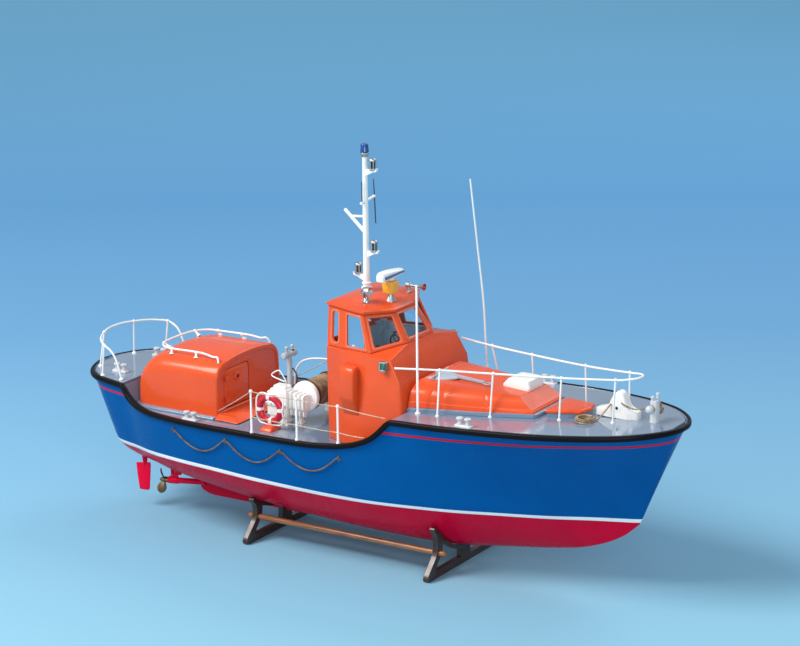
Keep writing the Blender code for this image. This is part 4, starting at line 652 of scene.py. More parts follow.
# Cabin kerb: the deck's low upstand round the cabin, a plastic strip glued to the deck and sprayed with it.
# It runs from one front corner round the stern end to the other.
kerb_x = np.linspace(cabin_front - 0.5, cabin_aft + 3, 24)
kerb_half = 28.5 * fair(cabin_width, kerb_x)
corner_turn = np.radians(np.linspace(0, 90, 10))[1:]
kerb_corner = np.stack([cabin_aft + 3 - 3 * np.sin(corner_turn), 26.6 - 3 + 3 * np.cos(corner_turn)], -1)
kerb_port = np.vstack([np.stack([kerb_x, kerb_half], -1), kerb_corner, [(cabin_aft, 12), (cabin_aft, 0)]])
kerb_line = both_halves(kerb_port, 1)
step = np.gradient(kerb_line, axis=0)
kerb_out = np.stack([step[:, 1], -step[:, 0]], -1) / np.linalg.norm(step, axis=1, keepdims=True)
kerb_out *= -np.sign(np.sum(kerb_out * (np.array((-100, 0)) - kerb_line), axis=1))[:, None]
kerb_rings = []
for out_by, z in ((-0.6, 61.15), (2.9, 61.15), (3, 61.5), (2.8, 62.1), (2.4, 62.35), (-0.6, 62.4)):
    kerb_rings.append(placed(kerb_line + kerb_out * out_by, "z", z))
piece("cabin_kerb", [skin(np.array(kerb_rings).transpose(1, 0, 2))], [deck_paint], crease=60)

# Cabin door: a pressed leaf with rounded top corners that lies in the doorway, hung on two pins at its
# starboard edge, with a round port boss. Its hole is a flat black disc, painted shade for the dark inside. It
# is sprayed with the cabin.
# Flat black discs in the door's port and in the windlass's shaft holes are painted shade, where the holes would
# be dark.
shade_hole_black = enamel("hole_painted_shade_black", (0.008, 0.007, 0.007), rough=0.6, coat=0)
leaf_line = rounded_box((door_hinge + 0.4, door_bottom + 0.4), (door_free - 0.4, door_top - 0.4),
    (0.4, 0.4, 2.1, 2.1))
raised = rounded_box((door_hinge + 1.6, door_bottom + 1.5), (door_free - 1.5, door_top - 1.5),
    (0.8, 0.8, 1.8, 1.8))
leaf_rows = ((-1.5, 0), (-0.95, 0), (-0.8, 0.12), (-0.72, 0.7), (-0.5, 0.9), (-0.42, 1))
shapes = [layers([(leaf_line + (raised - leaf_line) * share, cabin_front + x) for x, share in leaf_rows], "x")]
for z in (69, 80.5):
    shapes += [turned((cabin_front + 0.75, door_hinge, z - 1.6), (cabin_front + 0.75, door_hinge, z + 1.6),
            [(0, 0.3), (0.08, 0.5), (0.46, 0.5), (0.5, 0.4), (0.54, 0.5), (0.92, 0.5), (1, 0.3)], 16),
        board(rounded_box((door_hinge, z - 1), (door_hinge + 2.8, z + 1), (0.2, 0.8, 0.8, 0.2), 4), "x",
            cabin_front - 0.5, cabin_front + 0.62)]
boss = [(0, 2.3), (0.55, 2.3), (0.8, 2.15), (1, 1.8), (1, 1.2), (0.7, 1.1), (0.3, 1.1)]
shapes += [turned((cabin_front - 0.6, -10.4, 79.6), (cabin_front + 0.7, -10.4, 79.6), boss, 32),
    turned((cabin_front - 0.4, -10.4, 79.6), (cabin_front + 0.05, -10.4, 79.6), [(0, 1), (1, 1.05)], 24,
        finish=1)]
piece("cabin_door_leaf", shapes, [cabin_paint, shade_hole_black], body="aft_cabin_door", stands_for="aft_cabin_door",
    crease=45)

# Door step: a low orange sill across the whole front of the cabin, cut from thick sheet with its edges
# rubbed round, on which the door's foot clears.
sill_low = [(-76.7, 31), (-63, 31), (-62.4, 30.2)]
sill_high = [(-76.7, 28.2), (-66.6, 28.2), (-66, 27.4)]
sill_rows = ((sill_low, cabin_foot), (sill_low, 61.9), (sill_high, 63.8))
piece("door_step_sill", [layers([(both_halves(rows), z) for rows, z in sill_rows])], [cabin_paint],
    stands_for="door_step", round_edge=0.35, crease=25)

# Cabin rail: 1 mm brass wire bent round the roof, open forward where its ends turn down to the roof, on six
# posts with a ball joint on top and a flared foot, sprayed white.
white_enamel = enamel("rail_white_enamel", (0.9, 0.9, 0.88), rough=0.3, coat=0.3, tone=0.03)
rail_radius = 0.52


def wire(path, radius, sides=12, closed=False, finish=0):
    """A round wire: a ring at each point of the path, square to the way there, whose first direction is
    carried along without twisting."""
    p = np.array(path, float)
    ahead = np.roll(p, -1, 0) - np.roll(p, 1, 0)
    if not closed:
        ahead[0], ahead[-1] = p[1] - p[0], p[-1] - p[-2]
    ahead /= np.linalg.norm(ahead, axis=1, keepdims=True)
    hold = np.cross(ahead[0], (0, 0, 1) if abs(ahead[0][2]) < 0.9 else (0, 1, 0))
    holds = []
    for way in ahead:
        hold = hold - way * np.dot(hold, way)
        hold /= np.linalg.norm(hold)
        holds.append(hold)
    holds = np.array(holds)[:, None]
    angle = np.linspace(0, 2 * np.pi, sides, endpoint=False)[None, :, None]
    size = np.broadcast_to(radius, len(p))[:, None, None]
    rings = p[:, None] + size * (holds * np.cos(angle) + np.cross(ahead[:, None], holds) * np.sin(angle))
    return skin(rings, wrap=closed, finish=finish)


def ball(centre, radius, sides=16, finish=0):
    """A ball: rings from pole to pole whose radius is the sine of the angle from the pole."""
    angle = np.radians(np.linspace(8, 172, 9))
    rows = [((1 - math.cos(a)) / 2, radius * math.sin(a)) for a in angle]
    return turned(np.array(centre) - (0, 0, radius), np.array(centre) + (0, 0, radius), rows, sides, finish)


def roof_at(y):
    """Height of the cabin's roof at a distance from the centre line, read from its section."""
    rows = cabin_side[cabin_side[:, 1] > 80]
    return float(np.interp(abs(y), rows[::-1, 0], rows[::-1, 1]))


rail_end = roof_at(22.6) + 0.3
rail_path = [(-79.4, 22.6, rail_end), (-79.9, 22.3, rail_end + 1.4), (-81.2, 21.5, rail_end + 2.7),
    (-84, 20.9, 91), (-89, 20.4, 91.7), (-95.2, 20, 91.9), (-110, 20, 91.6), (-115.2, 19.2, 91.6),
    (-118.9, 16.4, 91.6), (-121.2, 12.4, 91.6), (-122.2, 7, 91.6), (-122.4, 0, 91.6)]
shapes = [wire(curve_through(both_halves(rail_path, 1), 6), rail_radius)]
for x, post_y in ((-95.2, 20), (-110.6, 20), (-120.6, 13.4)):
    for sign in (1, -1):
        joint = np.array((x, post_y * sign, 91.6))
        foot = (np.array((x + 3.2, post_y * sign * 0.95, 89.3)) if x < -115 else np.array((x + 0.6, 21.2 * sign,
            roof_at(21.2) - 0.1)))
        shapes += [ball(joint, 0.92),
            turned(foot, joint, [(0, 1.25), (0.12, 1.2), (0.3, 0.75), (0.5, 0.55), (1, 0.5)], 16)]
piece("cabin_rail_wire", shapes, [white_enamel], stands_for="aft_cabin_rail", crease=60)

# Stern rail: the same wire round the stern, with a ball on each post and its forward ends bent down to the
# deck. Its posts stand in holes in the deck.
stern_path = [(-138, 28, 73.3), (-139.4, 28, 79), (-141.6, 28, 84.4), (-144.6, 27.9, 87.8), (-149, 27.3, 89.9),
    (-153.4, 23.9, 90.7), (-156.8, 19.8, 91.2), (-160.4, 12.6, 91.7), (-162.6, 6, 92), (-163.2, 0, 92)]
shapes = [wire(curve_through(both_halves(stern_path, 1), 6), rail_radius)]
for (x, y), top_x, top_y, top_z in (((-151, 27), -149, 27.3, 89.9), ((-162.4, 14.4), -160.4, 12.6, 91.7)):
    for sign in (1, -1):
        foot, joint = np.array((x, y * sign, deck_height(x))), np.array((top_x, top_y * sign, top_z))
        shapes += [wire([foot, joint], 0.5),
            ball(joint, 0.9),
            turned(foot - (0, 0, 0.1), foot + (0, 0, 0.9), [(0, 1.2), (0.4, 1.1), (1, 0.6)], 16)]
for sign in (1, -1):
    shapes.append(turned((-138, 28 * sign, 73), (-138.1, 28 * sign, 74), [(0, 1.2), (0.4, 1.1), (1, 0.6)], 16))
piece("stern_rail_wire", shapes, [white_enamel], stands_for="stern_rail", crease=60)

# Towing bitt: a grey post on a square foot with a thick cross bar and two capped pins, and a bent brown handle
# on its fore side. Beside the winch stands a thin white post with a loop of wire; behind it runs a handrail.
fitting_paint = enamel("fitting_grey_enamel", (0.46, 0.5, 0.54), rough=0.33, coat=0.2, tone=0.1)
handle_brown = enamel("handle_brown_enamel", (0.085, 0.04, 0.016), rough=0.35, coat=0.3, tone=0.15)
bitt_x, bitt_top = -51.5, 92
foot_line = rounded_box((bitt_x - 3.2, -3.2), (bitt_x + 3.2, 3.2), 0.7, 4)
shapes = [board(foot_line, "z", well_top, 62.1),
    turned((bitt_x, 0, 61.8), (bitt_x, 0, bitt_top), [(0, 2), (0.03, 1.9), (0.06, 1.45), (1, 1.4)]),
    turned((bitt_x, -5.7, bitt_top), (bitt_x, 5.7, bitt_top), [(0, 1.2), (0.03, 1.6), (0.08, 1.75),
        (0.16, 1.75), (0.18, 1.6), (0.82, 1.6), (0.84, 1.75), (0.92, 1.75), (0.97, 1.6), (1, 1.2)])]
for y in (-2.4, 2.6):
    shapes.append(turned((bitt_x, y, bitt_top + 1), (bitt_x, y, bitt_top + 4.5),
        [(0, 0.65), (0.6, 0.65), (0.66, 1), (0.9, 1), (1, 0.7)], 20))
shapes.append(turned((bitt_x, 2.6, bitt_top + 1.2), (bitt_x, 2.6, bitt_top + 2),
    [(0, 0.8), (0.2, 1.15), (0.8, 1.15), (1, 0.8)], 20, finish=1))
handle = curve_through(placed([(bitt_x + 1.2, 84.6), (-49.3, 83.9), (-47.9, 81.8), (-47.6, 79.2), (-48.3, 76.6),
    (-50.2, 75.2)], "y", 0.6), 5)
shapes.append(wire(handle, 0.42, finish=1))
piece("towing_bitt_post", shapes, [fitting_paint, handle_brown], stands_for="towing_bitt")

loop_post_x, loop_post_y = -40.8, -19
loop_path = curve_through(placed([(-41, 84), (-45.2, 84.6), (-49.3, 85.9), (-48, 87.7), (-44.7, 89.1),
    (-42.5, 86.7)], "y", loop_post_y), 6, closed=True)
piece("wire_loop_post", [wire([(loop_post_x, loop_post_y, well_top), (-40.7, loop_post_y, 84.2)], 0.26),
    turned((loop_post_x, loop_post_y, well_top), (loop_post_x, loop_post_y, 62),
        [(0, 0.9), (0.5, 0.85), (1, 0.4)], 16),
    wire(loop_path, 0.34, closed=True)],
    [white_enamel], crease=60)
handrail_x, handrail_y = -64.2, 22
port_rail = curve_through(placed([(handrail_x, well_top), (-64, 68), (-63, 76), (-60.6, 80.2), (-56.9, 82.7),
    (-51.5, 84.2), (-43.3, 85), (-28, 85.4), (-12.1, 85.2)], "y", handrail_y), 6)
piece("well_handrail", [wire(port_rail, 0.5),
    turned((handrail_x, handrail_y, well_top), (handrail_x, handrail_y, 62), [(0, 1.1), (0.5, 1), (1, 0.5)],
        16)],
    [white_enamel], crease=60)

# Towing winch: a white gear casing with a stepped lid and a skirt, a finned motor beside a flat flange, on
# three feet. Bolt heads stand along the skirt, and the far end of the shaft runs in a plate on the deck.
drum_x, drum_z, drum_from, drum_to = -35, 75, -8.6, 11
skirt = rounded_box((-55, -17.9), (-41.4, -9.8), 1.2, 5)
case_low = rounded_box((-54.2, -17.2), (-42, -9.6), 1, 5)
case_top = rounded_box((-52.8, -16.4), (-42.6, -9.8), 0.9, 5)
lid_low = rounded_box((-51.2, -15.6), (-43.4, -10.2), 0.7, 5)
shapes = [layers(((case_low, 64.6), (case_low, 69.6), (skirt, 69.8), (skirt, 71.2), (case_low, 71.4),
        (case_low, 76.4), (case_top, 77.4), (case_top, 77.9), (lid_low, 78), (lid_low, 79.4),
        (lid_low * 0.9 + np.array((-47.3, -12.9)) * 0.1, 79.8))),
    board(rounded_box((-15.6, 69.4), (-10.6, 76.6), 1.6, 5), "x", -42.4, -31)]
for k in range(5):
    x = -42.6 + 2.5 * k
    shapes += [board(rounded_box((-17.9, 68.6), (-10.4, 78.6 - 0.35 * k), (2.2, 0.6, 1.6, 1.2), 6), "x", x,
            x + 1.15),
        board([(-17, 66.2), (-15.2, 65.6), (-13.6, 68.9), (-17, 68.9)], "x", x + 0.1, x + 0.9)]
shapes.append(turned((drum_x, -12.8, drum_z), (drum_x, -9.2, drum_z), [(0, 1.2), (0.06, 2), (0.3, 2.1),
    (0.34, 6.9), (0.4, 7.5), (0.5, 7.75), (0.94, 7.75), (1, 7.5)], 48))
for x0, x1, y0 in ((-52.8, -49.4, -16.6), (-46.4, -43.6, -16.6), (-38, -36, -13.4)):
    shapes += [board(rounded_box((x0, y0), (x1, -10.2), 0.5, 4), "z", well_top, 69.6),
        board(rounded_box((x0 - 0.8, y0 - 0.6), (x1 + 0.8, -9.9), 0.5, 4), "z", well_top, 61.9)]
shapes.append(turned((drum_x, -9.6, drum_z), (drum_x, drum_to + 2.8, drum_z), [(0, 1), (0.98, 1), (1, 0.7)]))
plate = [(drum_x - 3.6, well_top), (drum_x + 3.6, well_top), (drum_x + 3, 73.6), (drum_x + 2.2, 76.6),
    (drum_x, 77.6), (drum_x - 2.2, 76.6), (drum_x - 3, 73.6)]
shapes.append(board(plate, "y", drum_to + 0.9, drum_to + 2.4))
for k in range(5):
    x = -53.8 + 2.8 * k
    shapes.append(turned((x, -17.3, 70.5), (x, -18.3, 70.5), [(0, 0.5), (0.6, 0.5), (1, 0.3)], 12, finish=1))
for k in range(8):
    a = math.radians(45 * k + 10)
    spot = (drum_x + 6.5 * math.cos(a), -9.9, drum_z + 6.5 * math.sin(a))
    shapes.append(turned(np.array(spot) - (0, 1.6, 0), spot, [(0, 0.3), (0.3, 0.5), (1, 0.5)], 10, finish=1))
piece("winch_gear", shapes, [white_enamel, fitting_paint], stands_for="winch_casing", crease=35)

# Winch drum: a spool between two cheeks, wound with one layer and a half of waxed brown thread as thick as the
# model's tow rope. The turns lie unevenly, with dark gaps where they part.


def thread(name, colour, light, scale):
    """Twisted thread or rope: a colour that changes from dark to light with a fine noise, as dust and wax lie
    on it, rough, with a fibre bump."""
    made, add, shader, links, place = tree(name)
    slow = add("TexNoise", Vector=place, Scale=scale * 0.15, Detail=3).outputs["Fac"]
    fine = add("TexNoise", Vector=place, Scale=scale, Detail=4, Roughness=0.7).outputs["Fac"]
    mixed = add("Math", operation="MULTIPLY_ADD", _0=fine, _1=0.6, _2=slow).outputs[0]
    share = add("MapRange", Value=mixed, From_Min=0.55, From_Max=1.05).outputs[0]
    links.new(add("MixRGB", _0=share, _1=(*colour, 1), _2=(*light, 1)).outputs[0], shader.inputs["Base Color"])
    shader.inputs["Roughness"].default_value = 0.82
    shader.inputs["Sheen Weight"].default_value = 0.15
    links.new(add("Bump", Strength=0.6, Distance=0.00006, Height=fine).outputs[0], shader.inputs["Normal"])
    return made


rope_brown = thread("tow_rope_brown", (0.12, 0.066, 0.032), (0.45, 0.3, 0.165), 1500)
spool = [(0, 1.45), (0, 7), (0.01, 7.6), (0.045, 7.75), (0.06, 7.6), (0.07, 5.9), (0.93, 5.9), (0.94, 7.6),
    (0.955, 7.75), (0.99, 7.6), (1, 7), (1, 1.45)]
turns, per_turn = 10, 44
phase = np.arange(turns * per_turn + 1) / per_turn
wander = 0.1 * np.sin(phase * 2.3) + 0.07 * np.sin(phase * 5.1 + 1)
lay_y = drum_from + 1.75 + (drum_to - drum_from - 3.5) * phase / turns + wander
lay_r = 6.55 + 0.1 * np.sin(phase * 1.7 + 0.6) + 0.06 * np.sin(phase * 9.1)
winding = np.stack([drum_x + lay_r * np.cos(2 * np.pi * phase), lay_y,
    drum_z + lay_r * np.sin(2 * np.pi * phase)], -1)
piece("winch_spool", [turned((drum_x, drum_from, drum_z), (drum_x, drum_to, drum_z), spool, 48),
    wire(winding, 0.7, 12, finish=1)],
    [handle_brown, rope_brown], body="winch_drum", stands_for="winch_drum", crease=35)

# Lifebuoy: a red ring with four bands of white tape, a white line looped round it from band to band, standing
# on a bevelled orange chock on the deck.
buoy_red = enamel("buoy_red_enamel", (0.58, 0.008, 0.028), rough=0.3, coat=0.3)
buoy_centre, chock_top = np.array((-44, -28.5, 71.6)), 63.35


def buoy_part(first, last, thick, finish):
    """A stretch of the ring between two angles in degrees, with its tube's radius."""
    around = np.radians(np.linspace(first, last, 14))
    middle = np.stack([6.2 * np.cos(around), 0 * around, 6.2 * np.sin(around)], -1)
    return wire(buoy_centre + middle, thick, 20, finish=finish)


shapes = []
for k in range(4):
    middle = 4 + 90 * k
    shapes += [buoy_part(middle - 83, middle - 7, 1.75, 0), buoy_part(middle - 8, middle + 8, 1.84, 1)]
line_around = np.radians(np.arange(0, 360, 5))
line_out = 8.75 + 0.95 * np.cos(4 * (line_around - np.radians(45)))
buoy_line = buoy_centre + np.stack([line_out * np.cos(line_around), -0.5 - 0.4 * np.cos(4 * line_around),
    line_out * np.sin(line_around)], -1)
buoy_line[:, 2] = np.maximum(buoy_line[:, 2], chock_top + 0.55)
shapes.append(wire(buoy_line, 0.42, 10, closed=True, finish=1))
piece("lifebuoy_ring", shapes, [buoy_red, white_enamel], stands_for="lifebuoy")
chock_rows = [(rounded_box((x0, y0), (x1, y1), r, 4), z) for x0, y0, x1, y1, r, z in ((-47.8, -33.4, -40.4, -24,
    0.8, 61.2), (-47.6, -33.2, -40.6, -24.2, 0.8, 61.9), (-46.8, -31.6, -41.4, -25.8, 0.8, 63.1),
    (-46.4, -31.2, -41.8, -26.2, 0.7, chock_top))]
piece("lifebuoy_foot", [layers(chock_rows)], [cabin_paint], stands_for="lifebuoy_chock")

# Guard rails: white posts with a ball on top, glued into the deck's edge, and two rows of fine tan thread
# stretched from post to post, tied off at the cabin and at the wheelhouse.
guard_thread = thread("guard_line_tan", (0.4, 0.28, 0.17), (0.72, 0.58, 0.42), 2500)
guard_top = 86
for side, sign in both_sides:
    shapes, tops = [], []
    for x in (-43, -16, 8):
        y, foot = float(half_breadth(x) - 0.7) * sign, deck_height(x) + 0.2
        shapes += [turned((x, y, foot), (x, y, guard_top), [(0, 1), (0.03, 0.95), (0.07, 0.6), (0.9, 0.52),
                (1, 0.5)], 16),
            ball((x, y, guard_top - 0.35), 0.95),
            ball((x, y, guard_top - 13.5), 0.72)]
        tops.append((x, y, guard_top - 0.5))
    ends = [(cabin_front + 1.2, sign * 28.6, 66)] + tops + [(35, sign * 45.8, 83.6)]
    lower = [(x, y, z - 13) for x, y, z in tops] + [(23, sign * 46.4, 72.2)]
    for a, b in zip(ends[:-1] + lower[:-1], ends[1:] + lower[1:]):
        share = np.linspace(0, 1, 9)[:, None]
        run = np.array(a) + (np.array(b) - np.array(a)) * share - np.array((0, 0, 1.4)) * share * (1 - share)
        shapes.append(wire(run, 0.24, 8, finish=1))
    piece("guard_posts_" + side, shapes, [white_enamel, guard_thread], stands_for="guard_rail_" + side,
        crease=60)

# Wheelhouse body: sheet plastic walls that lean in above the side decks, with rounded corners, a ledge under
# the windows and a doorway aft, sprayed gloss orange outside. Its inside and floor are pale blue.
# At each height, the port corners: two aft, one at the side and one at the front.
house_aft, house_foot, house_floor = -12, 61.4, 62.6
wall_levels = [(house_foot, [(house_aft, 24.4), (0, 29.6), (16, 32.6), (36.4, 33)]),
    (84, [(house_aft, 24.8), (0, 29.8), (16, 32.4), (36.4, 33)]),
    (97, [(house_aft, 25), (0, 29), (16, 31.4), (34.6, 32.4)]),
    (107.6, [(house_aft, 25.2), (0, 28.2), (16, 30.4), (28.8, 31.4)])]
ledge_corners = [(house_aft, 24.2, 108.1), (0, 26.8, 108.3), (16, 28.8, 108.6), (26.6, 12.4, 111.3)]
corner_round = (0.9, 3, 3, 2.2)


def rounded_path(corners, radius, steps=6):
    """An open path with each inner corner replaced by a curve that leaves the two edges at the same distance:
    at share t between them, the corner counts 2t(1-t) and the two ends the rest."""
    corners = np.array(corners, float)
    points = [corners[0]]
    for before, corner, after, cut in zip(corners[:-2], corners[1:-1], corners[2:], radius):
        start = corner + (before - corner) * min(0.45, cut / np.linalg.norm(before - corner))
        end = corner + (after - corner) * min(0.45, cut / np.linalg.norm(after - corner))
        for t in np.linspace(0, 1, steps):
            points.append(start * (1 - t)**2 + corner * 2 * t * (1 - t) + end * t**2)
    return np.array(points + [corners[-1]])


def house_path(corners, heights):
    """The wheelhouse's outline at a level, from the doorway's port side round the bow to its starboard side."""
    port = [(house_aft, 9, heights[0])] + [(c[0], c[1], h) for c, h in zip(corners, heights)]
    cuts = corner_round + corner_round[::-1]
    return rounded_path(both_halves(port), cuts)


def pushed_in(path, amount):
    """The path moved towards the middle by a wall's thickness, square to its own direction seen from above."""
    step = np.gradient(path[:, :2], axis=0)
    inward = np.stack([step[:, 1], -step[:, 0]], -1) / np.linalg.norm(step, axis=1, keepdims=True)
    inward *= np.sign(np.sum(inward * (np.array((6, 0)) - path[:, :2]), axis=1))[:, None]
    return np.column_stack([path[:, :2] + inward * amount, path[:, 2]])


outer_levels = [house_path(corners, [z] * 4) for z, corners in wall_levels]
ledge = house_path(ledge_corners, [c[2] for c in ledge_corners])
under_ledge = pushed_in(outer_levels[-1], 2)
under_ledge[:, 2] = 105.6
loop_levels = outer_levels + [ledge, pushed_in(ledge, 1.2), under_ledge]
loop_levels += [pushed_in(path, 1.2) for path in outer_levels[-2::-1]]
wall_rings = np.array(loop_levels).transpose(1, 0, 2)
wall_skin = skin(wall_rings)
wall_marks = np.where(np.arange(len(wall_skin[1])) % len(loop_levels) >= 5, 1, 0)
wall_marks[-2:] = 0
floor_line = pushed_in(outer_levels[0], 1.25)[:, :2]
house_paint = enamel("house_gloss_orange", house_orange, rough=0.26, coat=0.12, shine=0.35)
piece("wheelhouse_walls", [(*wall_skin[:2], wall_marks),
    board(floor_line, "z", house_foot, house_floor, finish=1),
    board([(house_aft, house_foot), (-10.8, house_foot), (-10.8, 65.1), (house_aft, 65.1)], "y", -9, 9)],
    [house_paint, inside_pale], stands_for="wheelhouse_body", round_edge=0.35, crease=24)

# Window band: nine flat panels bent from one sheet, with the window openings cut and filed to round corners.
# The openings of the four side windows have a proud beading round them; its lighter orange is a painted
# highlight.
band_base = [(house_aft, 9.2, 108.4), (house_aft, 24.2, 108.4), (0, 26.8, 108.6), (16, 28.8, 108.9),
    (26.6, 12.4, 111.6)]
band_top = [(-12.6, 9.2, 127.8), (-12.6, 21.6, 127.8), (-1.4, 23.6, 127.1), (9.6, 25.3, 126.3),
    (17.9, 9.9, 125.2)]
band_low, band_high = both_halves(band_base), both_halves(band_top)
# Each opening's left and right, foot and head as shares of its panel, then its corners' radius.
openings = [(0.22, 0.82, 0.14, 0.86, 1.2), (0.26, 0.62, 0.12, 0.9, 1.7), (0.1, 0.84, 0.08, 0.9, 1.1),
    (0.14, 0.88, 0.1, 0.9, 1), (0.12, 0.88, 0.12, 0.9, 1.2), (0.12, 0.86, 0.1, 0.9, 1),
    (0.16, 0.9, 0.08, 0.9, 1.1), (0.38, 0.74, 0.12, 0.9, 1.7), (0.18, 0.78, 0.14, 0.86, 1.2)]


def corner_in(points, i, depth):
    """A corner of the band moved in so that both walls that meet there keep the same thickness."""
    p = points[i, :2]
    before = p - points[i - 1, :2] if i else points[1, :2] - p
    after = points[i + 1, :2] - p if i + 1 < len(points) else p - points[i - 1, :2]
    ways = np.array([before / np.linalg.norm(before), after / np.linalg.norm(after)])
    normals = np.stack([ways[:, 1], -ways[:, 0]], -1)
    normals *= np.sign(normals @ (np.array((3, 0)) - p))[:, None]
    move = normals.sum(0) / (1 + normals[0] @ normals[1])
    return np.append(p + move * depth, points[i, 2])


inner_low = np.array([corner_in(band_low, i, 1) for i in range(len(band_low))])
inner_high = np.array([corner_in(band_high, i, 1) for i in range(len(band_high))])


def panel_point(low, high, i, across, up):
    """A point of a panel: a share across between its corners, at the foot and at the head, and a share up."""
    across, up = np.asarray(across)[..., None], np.asarray(up)[..., None]
    foot = low[i] + (low[i + 1] - low[i]) * across
    head = high[i] + (high[i + 1] - high[i]) * across
    return foot + (head - foot) * up


band_points, band_faces, shapes = [], [], []
share = np.arange(9) / 9
rim = np.concatenate([np.stack([share, 0 * share], -1), np.stack([0 * share + 1, share], -1),
    np.stack([1 - share, 0 * share + 1], -1), np.stack([0 * share, 1 - share], -1)])
for i, opening in enumerate(openings):
    start = sum(len(p) for p in band_points)
    rim_out = panel_point(band_low, band_high, i, *rim.T)
    rim_in = panel_point(inner_low, inner_high, i, *rim.T)
    band_points += [rim_out, rim_in]
    edge = list(range(0, 9)) + list(range(18, 27))
    if i == 0:
        edge += list(range(27, 36))
    if i == len(openings) - 1:
        edge += list(range(9, 18))
    band_faces += [[start + k, start + (k + 1) % 36, start + 36 + (k + 1) % 36, start + 36 + k] for k in edge]
    wide = np.linalg.norm(band_low[i + 1] - band_low[i])
    tall = np.linalg.norm(band_high[i] - band_low[i])
    left, right, low_share, high_share, corner_r = opening
    size = np.array((wide, tall))
    hole = rounded_box((left * wide, low_share * tall), (right * wide, high_share * tall), corner_r, 9)
    hole = np.roll(hole, -4, 0)
    wider = np.array((left + right, low_share + high_share)) * size / 2
    hole_out = panel_point(band_low, band_high, i, *(hole / size).T)
    hole_in = panel_point(inner_low, inner_high, i, *(hole / size).T)
    band_points += [hole_out, hole_in]
    for k in range(36):
        n = (k + 1) % 36
        band_faces += [[start + k, start + n, start + 72 + n, start + 72 + k],
            [start + 36 + n, start + 36 + k, start + 108 + k, start + 108 + n],
            [start + 72 + k, start + 72 + n, start + 108 + n, start + 108 + k]]
    spread = hole - wider
    grown = (wider + spread * (1 + 1 / np.abs(spread).max(0))) / size
    normal = np.cross(band_low[i + 1] - band_low[i], band_high[i] - band_low[i])
    normal /= np.linalg.norm(normal)
    normal *= np.sign(normal[:2] @ (band_low[i, :2] - (3, 0)))
    frame_out = panel_point(band_low, band_high, i, *grown.T)
    proud = 0.32 if i in (2, 6) else 0.16
    shapes.append(skin([frame_out - normal * 0.1, frame_out + normal * proud * 0.7,
        frame_out * 0.85 + hole_out * 0.15 + normal * proud, frame_out * 0.15 + hole_out * 0.85 + normal
        * proud, hole_out + normal * proud * 0.7, hole_out - normal * 0.5], wrap=True))
# The beading's orange is lighter than the walls' to paint in a highlight along the openings' edges.
beading = enamel("beading_painted_highlight_orange", (0.8, 0.155, 0.055), rough=0.2, coat=0.5)
piece("window_band", [(np.concatenate(band_points), band_faces, 0)], [house_paint],
    stands_for="wheelhouse_windows", round_edge=0.25, crease=20)
piece("window_beading", shapes, [beading], crease=50)

# Window panes: one strip of clear sheet bent round behind the openings and glued to the band, faintly blue,
# with a few fine polishing lines.
glass, add, shader, links, place = tree("window_clear_sheet")
fine = add("TexNoise", Vector=place, Scale=300, Detail=3).outputs["Fac"]
links.new(add("MapRange", Value=fine, To_Min=0.01, To_Max=0.07).outputs[0], shader.inputs["Roughness"])
shader.inputs["Base Color"].default_value = (0.86, 0.94, 0.98, 1)
shader.inputs["Transmission Weight"].default_value = 1
shader.inputs["IOR"].default_value = 1.2
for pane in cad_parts["wheelhouse_glazing"].material_slots:
    pane.material = glass

# Wheelhouse roof: a crowned plate with a crisp edge that stands a little past the walls, sprayed orange. Its
# middle rises 2.6 mm, most of it near the edge.
roof_corners = [(-13.4, 22.4, 128.6), (-1.6, 24.6, 127.9), (10.4, 26.2, 127.1), (18.8, 10.4, 126)]
roof_loop = [(-13.4, 0, 128.6)] + roof_corners + [(18.8, 0, 126)]
roof_half = rounded_path(roof_loop, (0.8, 3, 1.6, 1), 7)
roof_edge = np.vstack([roof_half, (roof_half[1:-1] * (1, -1, 1))[::-1]])
roof_middle = roof_edge.mean(0)
roof_rings = []
for share, rise in ((0.05, 1.2), (0.5, 0.5), (0.94, -0.4), (1, -0.3), (1.004, 0.3), (1, 0.85), (0.985, 1),
        (0.94, 1.25), (0.85, 1.65), (0.7, 2.25), (0.5, 2.85), (0.3, 3.2), (0.1, 3.38), (0.02, 3.4)):
    ring = roof_middle + (roof_edge - roof_middle) * share
    ring[:, 2] += rise
    roof_rings.append(ring)
piece("wheelhouse_roof_plate", [skin(roof_rings)], [house_paint], stands_for="wheelhouse_roof", crease=40)

# Helm: a console with a slanted top, a five-spoked wheel and a seat on a pedestal, seen through the windows as
# grey and black shapes. They are cut from sheet and painted with a brush.
console_black = enamel("console_satin_black", (0.025, 0.026, 0.028), rough=0.4, coat=0.1)
wheel_hub = np.array((8.4, 6, 105.4))
wheel_axis = np.array((2.1, 0, 1)) / math.hypot(2.1, 1)
wheel_up = np.array((-1, 0, 2.1)) / math.hypot(2.1, 1)
rim_angle = np.radians(np.arange(0, 360, 8))[:, None]
rim_path = wheel_hub + 4.4 * (np.cos(rim_angle) * np.array((0, 1, 0)) + np.sin(rim_angle) * wheel_up)
helm_side = [(7, 62.9), (20, 62.9), (21.8, 100.6), (20.8, 103), (17.4, 106.2), (14.4, 106.6), (12.4, 105.2),
    (9.4, 101.4)]
shapes = [board(helm_side, "y", -15, 15),
    board(rounded_box((-3, 2), (1, 10), 1, 5), "z", 62.9, 89.2, finish=1),
    board(rounded_box((-4.8, 1.2), (2, 10.8), 1.4, 5), "z", 89, 91.8, finish=1),
    board(rounded_box((1.6, 91.6), (10.4, 102.6), (0.6, 0.6, 2.4, 2.4), 5), "x", -4.8, -3.2, finish=1),
    wire(rim_path, 0.42, 10, closed=True, finish=1),
    turned(wheel_hub - wheel_axis * 0.5, wheel_hub + wheel_axis * 2, [(0, 0.8), (0.3, 1.1), (1, 1.1)], 20,
        finish=1)]
